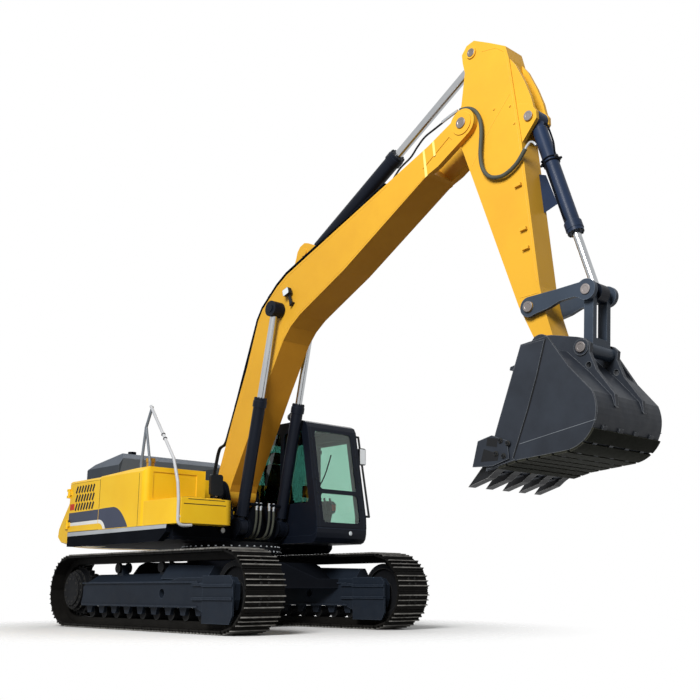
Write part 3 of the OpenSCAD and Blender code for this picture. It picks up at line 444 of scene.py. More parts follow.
@dataclass(frozen=True)
class TrackSteel(Finish):
    """Shoe steel that the ground rubs bright on the outer part of its bars.

    Lengths are in metres, measured from the line between the two axles.
    """

    rub: str = "#9A9893"
    axle: float = 1.995
    height: float = 0.526
    rubbed: float = 0.503
    rub_size: float = 0.111

    def marked(self, tree: Tree, place: Socket, colour: Socket) -> Socket:
        """Lays dust over the colour and then bright steel on the bars' outer part.

        Args:
            tree: Material's tree.
            place: Object coordinates.
            colour: Colour so far.

        Returns:
            Colour socket.
        """
        colour = super().marked(tree, place, colour)
        parts = add_node(tree, "ShaderNodeSeparateXYZ", links={"Vector": place})
        beyond = parts.outputs["X"]
        past_axle = (("ADD", CENTRE_X / 1000), ("ABSOLUTE", 0.0), ("SUBTRACT", self.axle), ("MAXIMUM", 0.0))
        for operation, value in past_axle:
            step = add_node(tree, "ShaderNodeMath", {"operation": operation}, {1: value}, {0: beyond})
            beyond = step.outputs["Value"]
        over = {0: parts.outputs["Z"]}
        rise = add_node(tree, "ShaderNodeMath", {"operation": "SUBTRACT"}, {1: self.height}, over)
        away = add_node(tree, "ShaderNodeCombineXYZ", links={"X": beyond, "Z": rise.outputs["Value"]})
        away_by = {0: away.outputs["Vector"]}
        reach = add_node(tree, "ShaderNodeVectorMath", {"operation": "LENGTH"}, links=away_by)
        limits = {"From Min": self.rubbed, "From Max": self.rubbed + 0.008, "To Max": 1.4}
        outer = add_node(tree, "ShaderNodeMapRange", values=limits, links={"Value": reach.outputs["Value"]})
        pattern = {"Scale": 1 / self.rub_size, "Detail": 5.0}
        patch = add_node(tree, "ShaderNodeTexNoise", values=pattern, links={"Vector": place})
        return self.laid(tree, colour, outer.outputs["Result"], patch.outputs["Fac"], self.rub)


@dataclass(frozen=True)
class PaleFloor(Finish):
    """Pale floor that keeps the shadow by the machine and fades into the white around it.

    Distances are in metres from the slew axis.
    """

    full: float = 2.4
    gone: float = 5.4

    def surface(self, tree: Tree, place: Socket, shader: Node) -> None:
        """Gives the floor its gloss and its soft end.

        Args:
            tree: Material's tree.
            place: Object coordinates.
            shader: Principled shader.
        """
        super().surface(tree, place, shader)
        middle = {1: (CENTRE_X / 1000, 0.0, 0.0)}
        moved = add_node(tree, "ShaderNodeVectorMath", {"operation": "ADD"}, middle, {0: place})
        away_by = {0: moved.outputs["Vector"]}
        away = add_node(tree, "ShaderNodeVectorMath", {"operation": "LENGTH"}, links=away_by)
        fade = {"interpolation_type": "SMOOTHSTEP"}
        limits = {"From Min": self.full, "From Max": self.gone, "To Min": 1.0, "To Max": 0.0}
        kept = add_node(tree, "ShaderNodeMapRange", fade, limits, {"Value": away.outputs["Value"]})
        tree.links.new(kept.outputs["Result"], shader.inputs["Alpha"])


@dataclass(frozen=True)
class Woven(Finish):
    """Upholstery cloth with crossed threads."""

    thread: float = 14.0

    def surface(self, tree: Tree, place: Socket, shader: Node) -> None:
        """Gives the cloth its threads, drawn coarse enough to show.

        Args:
            tree: Material's tree.
            place: Object coordinates.
            shader: Principled shader.
        """
        shader.inputs["Roughness"].default_value = self.roughness
        shader.inputs["Sheen Weight"].default_value = 0.3
        # A wave node of scale 1 repeats every pi / 10 units
        pattern = {"Scale": 1000 / self.thread / 20 * math.pi, "Distortion": 0.4}
        threads = {}
        for i, direction in enumerate(("X", "Z")):
            bands = {"bands_direction": direction}
            wave = add_node(tree, "ShaderNodeTexWave", bands, pattern, {"Vector": place})
            threads[i] = wave.outputs["Fac"]
        both = add_node(tree, "ShaderNodeMath", {"operation": "MAXIMUM"}, links=threads)
        depth = {"Strength": 0.4, "Distance": 0.003}
        bump = add_node(tree, "ShaderNodeBump", values=depth, links={"Height": both.outputs["Value"]})
        tree.links.new(bump.outputs["Normal"], shader.inputs["Normal"])


# Polyurethane enamel sprayed on welded plate: deep colour, soft gloss, faint orange peel, painted highlight
# on its edges
BOOM_YELLOW = Finish(
    "boom_yellow_enamel", "#DAA530", "#D49E2F", 0.45, coat=0.02, edge="#EFBE4C", edge_width=7
)
# The boom's underside, browner and darker: painted shade under the boom, with paler edges as painted
# highlight
BOOM_UNDERSIDE_SHADE = Finish(
    "shaded_boom_underside_enamel", "#D6942B", "#CC8A27", 0.55, specular=0.1, edge="#D9A040", edge_width=7
)
# The same enamel on thin pressed panels, a little more lemon, with painted highlight on its edges
PANEL_YELLOW = Finish(
    "panel_yellow_enamel", "#F7C724", "#F2BE1E", 0.4, coat=0.04, edge="#FAD75E", edge_width=6
)
# Slate enamel on frames, cylinders and cab: satin, dust settles on it
SLATE = Finish(
    "slate_enamel", "#10151F", "#0B0F18", 0.45, coat=0.02, specular=0.1, edge="#2C3442", edge_width=8,
    dust="#3C3A37",
)
# Blue-grey enamel on cylinder barrels
BARREL = Finish(
    "barrel_enamel", "#22304A", "#1B273B", 0.4, coat=0.03, specular=0.12, edge="#43546D", edge_width=6
)
# Grey enamel on the engine hood, with painted highlight on its edges
HOOD_GREY = Finish("hood_grey_enamel", "#535B66", "#48505A", 0.5, edge="#6E7781", edge_width=10)
# The hood's sides below its top, darker and duller: the darker colour is painted shade, the paler edges
# painted highlight
HOOD_SIDE_SHADE = Finish(
    "shaded_hood_side_enamel", "#3B424C", "#343B45", 0.55, specular=0.1, edge="#5E6771", edge_width=10
)
# Slate enamel on the bucket's linkage, rubbed paler than the bucket
LINK_SLATE = Finish(
    "link_slate_enamel", "#36404D", "#2E3743", 0.45, edge="#6F7A86", edge_width=8, relief=0.1, relief_size=30
)
# Rolled manganese steel shoes, rubbed pale on their bars and caked with dry soil
SHOE_STEEL = TrackSteel(
    "worn_shoe_steel", "#0D0D0D", "#080808", 0.65, specular=0.06, dust="#3A3732", dust_top=1.1,
    dust_share=0.35, relief=0.25, relief_size=25, drift_size=160,
)
# Cast rollers, wheels and drives: dull, oily and dusty
CAST = Finish(
    "dull_cast_steel", "#121418", "#0C0E11", 0.65, specular=0.08, edge="#4A4946", dust="#3C3A37", relief=0.2,
    relief_size=14,
)
# Bucket plate painted slate, scratched bright along its edges
BUCKET_PLATE = Finish(
    "scratched_bucket_plate", "#2A2F37", "#22262D", 0.48, edge="#75787C", edge_width=10, relief=0.1,
    relief_size=30, drift_size=350, rough_spread=0.14,
)
# Wear plates under the bucket, dull, in a dark brownish tone that is painted shade under the bucket; their
# paler edges are wear
WEAR_PLATE = Finish(
    "dull_wear_plate", "#2B2C26", "#20211C", 0.7, specular=0.03, edge="#5A584F", edge_width=8, relief=0.25,
    relief_size=20, drift_size=220,
)
# Weld bead left bright by the grinder
WELD = Finish("ground_weld_bead", "#7D8288", "#6A6F75", 0.45, metallic=0.4, relief=0.3, relief_size=6)
# Forged teeth and cutting edges, dark and scaled
FORGED = Finish("forged_tooth_steel", "#2A2B2D", "#1C1D1F", 0.5, metallic=0.5, edge="#9A9A98", relief=0.15)
# Hard chrome on ground rods: mirror-like with fine wipe marks
CHROME = Finish("hard_chrome", "#B4B6B8", "#A4A7AA", 0.2, metallic=1.0, relief=0.0, rough_spread=0.04)
# Zinc-plated fittings and bolts: soft silver
ZINC = Finish("zinc_plate", "#B9BDC0", "#A4A8AC", 0.32, metallic=0.9, relief_size=5)
# Turned pin ends: darker bare steel
PIN_STEEL = Finish("turned_pin_steel", "#8C8684", "#6F6A69", 0.38, metallic=0.85, relief=0.02)
# Hose rubber: black, slightly shiny cover
HOSE_RUBBER = Finish("hose_rubber", "#1E1F21", "#161718", 0.45, relief=0.12, relief_size=6)
# Hose in its grey fabric sleeve
HOSE_SLEEVE = Finish("hose_sleeve", "#4C4E45", "#3F4139", 0.6, relief=0.2, relief_size=5)
# Moulded plastic: near black, fine grain
PLASTIC = Finish("moulded_plastic", "#1B1D20", "#15171A", 0.5, relief=0.15, relief_size=6)
# Painted tube of the hand rails
RAIL_GREY = Finish("rail_grey_paint", "#BFC0C2", "#AEB0B3", 0.4, coat=0.1, edge="#E2E4E5", edge_width=4)
# The same tube in a darker grey, on the split post
RAIL_DARK = Finish("rail_dark_paint", "#6F757C", "#62686F", 0.45, coat=0.1, edge="#5A6068", edge_width=4)
# Black frame round panes and under the deck
DARK_FRAME = Finish(
    "dark_frame_paint", "#0D1016", "#090B10", 0.75, specular=0.03, edge="#242933", dust="#33312E",
    dust_share=0.15,
)
# The same paint where it shows on the track frames, slate blue, with painted highlight along the flanges'
# edges
FRAME_SLATE = Finish(
    "frame_slate_paint", "#1C242F", "#161D27", 0.55, specular=0.06, edge="#4B5563", dust="#3C3A37"
)
# Ochre cap of the filler
OCHRE = Finish("ochre_cap", "#B98C32", "#9E7526", 0.5, relief=0.1)
# Films of paint: stripe, its white line, the boom's pale bands and the skirt
STRIPE_BLUE = Finish("stripe_blue_film", "#353C51", "#2F364A", 0.4, coat=0.03, relief=0.02)
STRIPE_WHITE = Finish("stripe_white_film", "#ECEBE6", "#DEDDD8", 0.4, coat=0.2, relief=0.02)
STRIPE_PALE = Finish("stripe_pale_film", "#F8DC82", "#F3D170", 0.38, coat=0.2, relief=0.02)
SKIRT_GREY = Finish("skirt_grey_film", "#B2B6BA", "#A2A7AC", 0.42, coat=0.1, relief=0.02)
# Prismatic red reflector
RED = Finish("red_reflector", "#D63A16", "#BC2F12", 0.35, coat=0.03, specular=0.1, relief=0.2, relief_size=6)
# Lamp lens, and mirror face whose near-white colour is a painted reflection
LENS = Finish("lamp_lens", "#E8EEF0", "#C9D2D6", 0.12, coat=0.6, relief=0.3, relief_size=12)
MIRROR = Finish("mirror_face", "#EDEFF0", "#E3E7E9", 0.08, metallic=0.3, relief=0.0, rough_spread=0.02)
# Laminated green-tinted glass
GLASS = Glazing("green_tint_glass", "#BCDDD0", "#B4D8C9", 0.02)
# The pane beside the boom, tinted darker
SIDE_GLASS = Glazing("dark_side_glass", "#3F6F68", "#396760", 0.02)
# Seat cover cloth
SEAT_CLOTH = Woven("seat_cover_cloth", "#22262B", "#191C20", 0.85)
# Air filter mesh and grilles
GRILLE = Finish("grille_black", "#121316", "#0D0E10", 0.6, relief=0.4, relief_size=8)
# Pale studio floor
FLOOR = PaleFloor("pale_floor", "#F6F6F5", "#F3F3F2", 0.9, relief=0.0, drift_size=9000)

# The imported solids
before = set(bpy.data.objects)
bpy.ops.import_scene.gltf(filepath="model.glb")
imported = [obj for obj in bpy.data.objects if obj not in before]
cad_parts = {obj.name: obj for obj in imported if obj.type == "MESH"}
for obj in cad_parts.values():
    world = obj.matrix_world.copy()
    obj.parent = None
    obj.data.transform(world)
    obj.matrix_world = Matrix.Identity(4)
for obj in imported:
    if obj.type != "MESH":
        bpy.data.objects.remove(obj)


def dress(finish: Finish, *nodes: str) -> None:
    """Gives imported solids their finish.

    Args:
        finish: Their surface.
        nodes: Names of the solids.
    """
    for name in nodes:
        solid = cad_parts[name]
        solid.data.materials.clear()
        solid.data.materials.append(finish.material())


def dress_faces(name: str, finish: Finish, chosen: Callable[[Vector, Vector], bool]) -> None:
    """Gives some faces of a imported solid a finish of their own.

    Args:
        name: Name of the solid.
        finish: Surface of the chosen faces.
        chosen: Says whether a face with this middle and this outward direction is one of them.
    """
    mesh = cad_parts[name].data
    mesh.materials.append(finish.material())
    last = len(mesh.materials) - 1
    for face in mesh.polygons:
        if chosen(face.center, face.normal):
            face.material_index = last


def mesh_object(name: str, mesh: bpy.types.Mesh, finish: Finish) -> Piece:
    """Puts a mesh into the scene with its finish.

    Args:
        name: Piece's name.
        mesh: Mesh in the shared frame.
        finish: Its surface.

    Returns:
        The new piece.
    """
    mesh.materials.clear()
    mesh.materials.append(finish.material())
    made = bpy.data.objects.new(name, mesh)
    bpy.context.scene.collection.objects.link(made)
    return made


def settle(made: Piece, body: Body) -> None:
    """Makes a finished piece ride on its body.

    Args:
        made: The piece.
        body: Body that it moves with.
    """
    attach(made, body.value)
    LOG.info("%s rides on %s", made.name, body.value)


def clean_mesh(shape: bmesh.types.BMesh, name: str, smooth: bool = False) -> bpy.types.Mesh:
    """Turns a bmesh into a mesh with outward faces.

    Args:
        shape: The bmesh, which is freed.
        name: Mesh name.
        smooth: Whether faces are shaded smooth.

    Returns:
        The mesh.
    """
    bmesh.ops.remove_doubles(shape, verts=shape.verts, dist=1e-6)
    bmesh.ops.recalc_face_normals(shape, faces=shape.faces)
    for face in shape.faces:
        face.smooth = smooth
    mesh = bpy.data.meshes.new(name)
    shape.to_mesh(mesh)
    shape.free()
    return mesh


def start_tree(name: str, sockets: dict[str, str], out: str) -> tuple[Tree, Node, Node]:
    """Starts a Geometry Nodes tree with named sockets.

    Args:
        name: Tree's name.
        sockets: Type of each input by its name.
        out: Name of the output.

    Returns:
        The tree, its group input and its group output.
    """
    tree = bpy.data.node_groups.new(name, "GeometryNodeTree")
    for label, kind in (sockets | {"Finish": "NodeSocketMaterial"}).items():
        tree.interface.new_socket(name=label, in_out="INPUT", socket_type=kind)
    tree.interface.new_socket(name=out, in_out="OUTPUT", socket_type="NodeSocketGeometry")
    return tree, add_node(tree, "NodeGroupInput"), add_node(tree, "NodeGroupOutput")


def end_tree(tree: Tree, inputs: Node, outputs: Node, shape: Socket) -> None:
    """Ends a tree: the shape stands on every point along its aim, is made real and gets its material.

    Args:
        tree: The tree.
        inputs: Its group input.
        outputs: Its group output.
        shape: The shape to repeat.
    """
    vectors = {"data_type": "FLOAT_VECTOR"}
    aim = add_node(tree, "GeometryNodeInputNamedAttribute", vectors, {"Name": "aim"})
    upright = {"Vector": aim.outputs["Attribute"]}
    turn = add_node(tree, "FunctionNodeAlignRotationToVector", {"axis": "Z"}, links=upright)
    stands = {"Points": inputs.outputs["Points"], "Instance": shape, "Rotation": turn.outputs["Rotation"]}
    stood = add_node(tree, "GeometryNodeInstanceOnPoints", links=stands)
    real = add_node(tree, "GeometryNodeRealizeInstances", links={0: stood.outputs["Instances"]})
    wears = {"Geometry": real.outputs["Geometry"], "Material": inputs.outputs["Finish"]}
    dressed = add_node(tree, "GeometryNodeSetMaterial", links=wears)
    tree.links.new(dressed.outputs["Geometry"], outputs.inputs[0])


@cache
def heads_tree() -> Tree:
    """Makes the tree that stands a washer and a hexagon head on each point.

    Returns:
        The tree.
    """
    sockets = {"Points": "NodeSocketGeometry", "Radius": "NodeSocketFloat", "Height": "NodeSocketFloat"}
    tree, inputs, outputs = start_tree("hex_heads", sockets, "Heads")
    radius, height = inputs.outputs["Radius"], inputs.outputs["Height"]
    wide = add_node(tree, "ShaderNodeMath", {"operation": "MULTIPLY"}, {1: 1.35}, {0: radius})
    thin = add_node(tree, "ShaderNodeMath", {"operation": "MULTIPLY"}, {1: 0.5}, {0: height})
    size = {"Radius": wide.outputs["Value"], "Depth": thin.outputs["Value"]}
    washer = add_node(tree, "GeometryNodeMeshCylinder", values={"Vertices": 12}, links=size)
    size = {"Radius": radius, "Depth": height}
    head = add_node(tree, "GeometryNodeMeshCylinder", values={"Vertices": 6}, links=size)
    lift = add_node(tree, "ShaderNodeCombineXYZ", links={"Z": thin.outputs["Value"]})
    lifts = {"Geometry": head.outputs["Mesh"], "Translation": lift.outputs["Vector"]}
    raised = add_node(tree, "GeometryNodeTransform", links=lifts)
    both = add_node(tree, "GeometryNodeJoinGeometry")
    tree.links.new(washer.outputs["Mesh"], both.inputs[0])
    tree.links.new(raised.outputs["Geometry"], both.inputs[0])
    end_tree(tree, inputs, outputs, both.outputs["Geometry"])
    return tree


@cache
def bars_tree() -> Tree:
    """Makes the tree that lays a block of a given size on each point.

    Returns:
        The tree.
    """
    sockets = {"Points": "NodeSocketGeometry", "Size": "NodeSocketVector"}
    tree, inputs, outputs = start_tree("bars", sockets, "Bars")
    bar = add_node(tree, "GeometryNodeMeshCube", links={"Size": inputs.outputs["Size"]})
    end_tree(tree, inputs, outputs, bar.outputs["Mesh"])
    return tree


@cache
def tubes_tree() -> Tree:
    """Makes the tree that sweeps a round section along smooth paths.

    Returns:
        The tree.
    """
    sockets = {"Paths": "NodeSocketGeometry", "Radius": "NodeSocketFloat", "Step": "NodeSocketFloat"}
    tree, inputs, outputs = start_tree("round_tubes", sockets, "Tubes")
    path = add_node(tree, "GeometryNodeMeshToCurve", links={"Mesh": inputs.outputs["Paths"]})
    bends = {"spline_type": "CATMULL_ROM"}
    bent = add_node(tree, "GeometryNodeCurveSplineType", bends, links={"Curve": path.outputs["Curve"]})
    steps = {"Curve": bent.outputs["Curve"], "Length": inputs.outputs["Step"]}
    even = add_node(tree, "GeometryNodeResampleCurve", {"mode": "LENGTH"}, links=steps)
    sides, size = {"Resolution": TUBE_SIDES}, {"Radius": inputs.outputs["Radius"]}
    ring = add_node(tree, "GeometryNodeCurvePrimitiveCircle", values=sides, links=size)
    sweep = {"Curve": even.outputs["Curve"], "Profile Curve": ring.outputs["Curve"]}
    swept = add_node(tree, "GeometryNodeCurveToMesh", values={"Fill Caps": True}, links=sweep)
    soft = add_node(tree, "GeometryNodeSetShadeSmooth", links={"Geometry": swept.outputs["Mesh"]})
    real = add_node(tree, "GeometryNodeRealizeInstances", links={0: soft.outputs["Geometry"]})
    wears = {"Geometry": real.outputs["Geometry"], "Material": inputs.outputs["Finish"]}
    dressed = add_node(tree, "GeometryNodeSetMaterial", links=wears)
    tree.links.new(dressed.outputs["Geometry"], outputs.inputs[0])
    return tree


def grown(name: str, base: bpy.types.Mesh, tree: Tree, inputs: dict, finish: Finish) -> Piece:
    """Runs a tree on a base mesh and keeps the result as a plain mesh.

    Args:
        name: Piece's name.
        base: Points or paths.
        tree: Geometry Nodes tree.
        inputs: Values by the tree's socket names.
        finish: Surface of the piece.

    Returns:
        The piece, with no modifier left.
    """
    carrier = bpy.data.objects.new(name + "_base", base)
    bpy.context.scene.collection.objects.link(carrier)
    modifier = carrier.modifiers.new("repeat", "NODES")
    modifier.node_group = tree
    wanted = inputs | {"Finish": finish.material()}
    for item in tree.interface.items_tree:
        if item.in_out == "INPUT" and item.name in wanted:
            modifier[item.identifier] = wanted[item.name]
    graph = bpy.context.evaluated_depsgraph_get()
    mesh = bpy.data.meshes.new_from_object(carrier.evaluated_get(graph))
    mesh.name = name
    for attribute in [a for a in mesh.attributes if a.name == "aim"]:
        mesh.attributes.remove(attribute)
    bpy.data.objects.remove(carrier)
    return mesh_object(name, mesh, finish)


def cloud(points: list[Vector], aims: list[Vector] | Vector) -> bpy.types.Mesh:
    """Makes a mesh of loose points that each know their aim.

    Args:
        points: Places.
        aims: Directions, one for each place or one for all.

    Returns:
        The mesh.
    """
    if isinstance(aims, Vector):
        aims = [aims] * len(points)
    mesh = bpy.data.meshes.new("cloud")
    mesh.from_pydata([tuple(p) for p in points], [], [])
    aim = mesh.attributes.new("aim", "FLOAT_VECTOR", "POINT")
    aim.data.foreach_set("vector", [c for a in aims for c in a.normalized()])
    return mesh


def heads(
    name: str, points: list[Vector], aims: list[Vector] | Vector, size: Place, finish: Finish = ZINC
) -> Piece:
    """Stands bolt heads on points.

    Args:
        name: Piece's name.
        points: Places on the surface.
        aims: Outward directions, one for each place or one for all.
        size: Head's radius and height in millimetres.
        finish: Surface.

    Returns:
        The piece.
    """
    sizes = {"Radius": size[0] / 1000, "Height": size[1] / 1000}
    return grown(name, cloud(points, aims), heads_tree(), sizes, finish)


def bars(
    name: str, points: list[Vector], aims: list[Vector] | Vector, size: Iterable[float], finish: Finish
) -> Piece:
    """Lays blocks on points.

    Args:
        name: Piece's name.
        points: Middles of the blocks.
        aims: Directions of their third side, one for each block or one for all.
        size: Sides in millimetres.
        finish: Surface.

    Returns:
        The piece.
    """
    sizes = {"Size": tuple(s / 1000 for s in size)}
    return grown(name, cloud(points, aims), bars_tree(), sizes, finish)


def tubes(name: str, paths: list[list[Vector]], radius: float, finish: Finish) -> Piece:
    """Sweeps a round section along paths.

    Args:
        name: Piece's name.
        paths: Points of each path.
        radius: Section's radius in millimetres.
        finish: Surface.

    Returns:
        The piece.
    """
    points, edges = [], []
    for path in paths:
        start = len(points)
        points += [tuple(p) for p in path]
        edges += [(i, i + 1) for i in range(start, len(points) - 1)]
    base = bpy.data.meshes.new("paths")
    base.from_pydata(points, edges, [])
    sizes = {"Radius": radius / 1000, "Step": max(radius * 1.2, 8) / 1000}
    return grown(name, base, tubes_tree(), sizes, finish)


def plate(name: str, outline: list[Vector], thickness: Iterable[float], finish: Finish) -> Piece:
    """Makes a flat plate from an outline.

    Args:
        name: Piece's name.
        outline: Corner points of one face, in order.
        thickness: Step from that face to the other in millimetres.
        finish: Surface.

    Returns:
        The piece.
    """
    step = Vector(thickness) / 1000
    shape = bmesh.new()
    near = [shape.verts.new(p) for p in outline]
    far = [shape.verts.new(p + step) for p in outline]
    shape.faces.new(near)
    shape.faces.new(list(reversed(far)))
    for i in range(len(near)):
        j = (i + 1) % len(near)
        shape.faces.new((near[j], near[i], far[i], far[j]))
    return mesh_object(name, clean_mesh(shape, name), finish)


def circle_points(centre: Vector, way: Vector, radius: float, count: int, first: float = 0.0) -> list[Vector]:
    """Spreads points evenly on a circle.

    Args:
        centre: Middle of the circle.
        way: Axis of the circle.
        radius: Radius in millimetres.
        count: Number of points.
        first: Angle of the first point in degrees.

    Returns:
        The points.
    """
    frame = way.normalized().to_track_quat("Z", "Y").to_matrix()
    angles = [2 * math.pi * k / count + math.radians(first) for k in range(count)]
    return [centre + frame @ Vector((math.cos(a), math.sin(a), 0)) * radius / 1000 for a in angles]


def hoop(centre: Vector, way: Vector, radius: float, count: int) -> list[Vector]:
    """Makes the path of a closed ring, which runs on past its start so that no gap is left.

    Args:
        centre: Middle of the ring.
        way: Axis of the ring.
        radius: Radius in millimetres.
        count: Number of points on the ring.

    Returns:
        The path.
    """
    ring = circle_points(centre, way, radius, count)
    return ring + ring[:2]


def turned(name: str, start: Vector, way: Vector, rings: Iterable[Place], finish: Finish) -> Piece:
    """Makes a turned piece about an axis.

    Args:
        name: Piece's name.
        start: Start of the axis.
        way: Direction of the axis.
        rings: Distance along the axis and radius of each ring, in millimetres.
        finish: Surface.

    Returns:
        The piece.
    """
    axis = way.normalized()
    shape = bmesh.new()
    rows = []
    for along, radius in rings:
        ring = circle_points(start + axis * along / 1000, axis, radius, TURNED_SIDES)
        rows.append([shape.verts.new(p) for p in ring])
    for low, high in zip(rows, rows[1:]):
        for k in range(TURNED_SIDES):
            j = (k + 1) % TURNED_SIDES
            shape.faces.new((low[k], low[j], high[j], high[k]))
    shape.faces.new(list(reversed(rows[0])))
    shape.faces.new(rows[-1])
    return mesh_object(name, clean_mesh(shape, name), finish)


def arc_between(points: list[Place], steps: int) -> list[Place]:
    """Rounds a line of three points into a smooth bend.

    Args:
        points: Start, corner and end.
        steps: Number of pieces.

    Returns:
        Points on the bend, ends included.
    """
    (x0, z0), (x1, z1), (x2, z2) = points
    bend = []
    for i in range(steps + 1):
        t = i / steps
        a, b, c = (1 - t) ** 2, 2 * t * (1 - t), t * t
        bend.append((a * x0 + b * x1 + c * x2, a * z0 + b * z1 + c * z2))
    return bend


@dataclass
class Undercarriage:
    """Tracks, side frames, wheels and the middle frame.

    A bolt's size is the radius and the height of its head.
    """

    gauge: float = 2590
    tumblers: float = 3990
    straight: int = 18
    arc: int = 6
    link_out: float = 50
    shoe: float = 16
    grouser: float = 32
    shoe_width: float = 600
    frame_half: float = 235
    shoe_bolt: Place = (15, 12)
    hub_bolt: Place = (13, 12)
    ring_bolt: Place = (14, 16)
    ring_top: float = 1135
    ring_bolt_circle: float = 713
    collar_bolt: Place = (12, 12)
    collar_middle: float = 1070
    collar_radius: float = 736

    def paint(self) -> None:
        """Dresses the solids of the undercarriage."""
        dress(DARK_FRAME, "car_body")
        dress(FRAME_SLATE, "track_frame_left", "track_frame_right")
        dress(SHOE_STEEL, "track_left", "track_right")
        dress(CAST, "idlers", "sprockets", "final_drives", "track_rollers", "carrier_rollers", "slew_ring")

    def links(self) -> list[tuple[Vector, Vector, Vector]]:
        """Lists each shoe's middle on the pin line.

        Returns:
            Place in machine x and z, direction along the chain and outward direction.
        """
        pitch = self.tumblers / self.straight
        half_link = math.radians(90 / self.arc)
        reach = pitch / 2 / math.sin(half_link)
        axle = reach + self.link_out + self.shoe + self.grouser
        found = []
        for i in range(self.straight):
            x = -self.tumblers / 2 + (i + 0.5) * pitch
            found.append((Vector((x, 0, axle - reach)), AHEAD, -UP))
            found.append((Vector((x, 0, axle + reach)), -AHEAD, UP))
        for side in (-1, 1):
            for i in range(self.arc):
                a = math.radians((i + 0.5) * 180 / self.arc - 90 + (180 if side < 0 else 0))
                out = Vector((math.cos(a), 0, math.sin(a)))
                middle = Vector((side * self.tumblers / 2, 0, axle)) + out * reach * math.cos(half_link)
                found.append((middle, Vector((-out.z, 0, out.x)), out))
        return found

    def on_shoes(self, side: int, spots: Iterable[Place], rise: float) -> tuple[list[Vector], list[Vector]]:
        """Finds the same spots on every shoe of a track.

        Args:
            side: -1 for the right track, 1 for the left.
            spots: Steps along the chain and to the left from a shoe's middle.
            rise: Height over the pin line.

        Returns:
            Places and outward directions.
        """
        places, aims = [], []
        for middle, along, out in self.links():
            for step, y in spots:
                spot = middle + along * step + out * rise
                places.append(machine(spot.x, side * self.gauge / 2 + y, spot.z))
                aims.append(out)
        return places, aims

    def shoes(self) -> None:
        """Adds each shoe's bolts and its bent lips, which close the joints to the next shoes."""
        bolts = ((-36, -62), (-36, 62), (36, -62), (36, 62))
        lips = ((-106, 0), (106, 0))
        lip_size = (52, self.shoe_width - 6, 10)
        for side, tag in SIDES:
            places, aims = self.on_shoes(side, lips, self.link_out - 1)
            made = bars(f"shoe_lips_{tag}", places, aims, lip_size, SHOE_STEEL)
            settle(made, Body.UNDERCARRIAGE)
            places, aims = self.on_shoes(side, bolts, self.link_out + self.shoe)
            made = heads(f"shoe_bolts_{tag}", places, aims, self.shoe_bolt, CAST)
            settle(made, Body.UNDERCARRIAGE)

    def guards(self) -> None:
        """Adds the idlers' side plates with ribs, and the frames' flanges, roofs and tensioner housings."""
        yoke = ((1540, 130), (2110, 130), (2172, 230), (2172, 640), (2110, 708), (1540, 708))
        roof = ((1500, 638), (1312, 752), (1278, 752), (1090, 638))
        hump = ((1470, 680), (1345, 866), (1245, 866), (1120, 680))
        for side, tag in SIDES:
            made = []
            for out, where in ((side, f"{tag}_outer"), (-side, f"{tag}_inner")):
                face = side * self.gauge / 2 + out * self.frame_half
                ribs = [machine(1856, face + out * 36, z) for z in (430, 590)]
                flanges = [machine(-120, face - out * 22, z) for z in (326, 630)]
                made.append(plate(f"idler_guard_{where}", on_y(face, yoke), (0, out * 26, 0), FRAME_SLATE))
                made.append(bars(f"idler_guard_ribs_{where}", ribs, UP, (632, 22, 30), FRAME_SLATE))
                made.append(bars(f"frame_flanges_{where}", flanges, UP, (2980, 30, 16), FRAME_SLATE))
            for name, x, outline, run in (
                ("frame_roof", -1480, roof, (2860, 0, 0)),
                ("tensioner_housing", 440, hump, (1040, 0, -30)),
            ):
                points = on_x(x, [(side * y, z) for y, z in outline])
                made.append(plate(f"{name}_{tag}", points, run, FRAME_SLATE))
            for piece in made:
                settle(piece, Body.UNDERCARRIAGE)

    def bolts(self) -> None:
        """Adds the bolts of the hubs and of the slew ring."""
        height = sum(p.z for p, _, _ in self.links()) / len(self.links())
        places, aims = [], []
        for side, _ in SIDES:
            out = Vector((0, side, 0))
            for reach, radius, count in ((120, 285, 20), (175, 242, 16), (205, 175, 10)):
                centre = machine(-self.tumblers / 2, side * (self.gauge / 2 + reach), height)
                places += circle_points(centre, out, radius, count)
                aims += [out] * count
        low = circle_points(machine(0, 0, self.ring_top), UP, self.ring_bolt_circle, 40)
        middle = machine(0, 0, self.collar_middle)
        collar = circle_points(middle, UP, self.collar_radius, 44, 4)
        outward = [p - middle for p in collar]
        for made in (
            heads("hub_bolts", places, aims, self.hub_bolt, CAST),
            heads("ring_bolts", low, UP, self.ring_bolt),
            heads("collar_bolts", collar, outward, self.collar_bolt),
        ):
            settle(made, Body.UNDERCARRIAGE)

    def build(self) -> None:
        """Builds the undercarriage's looks."""
        self.paint()
        self.shoes()
        self.guards()
        self.bolts()


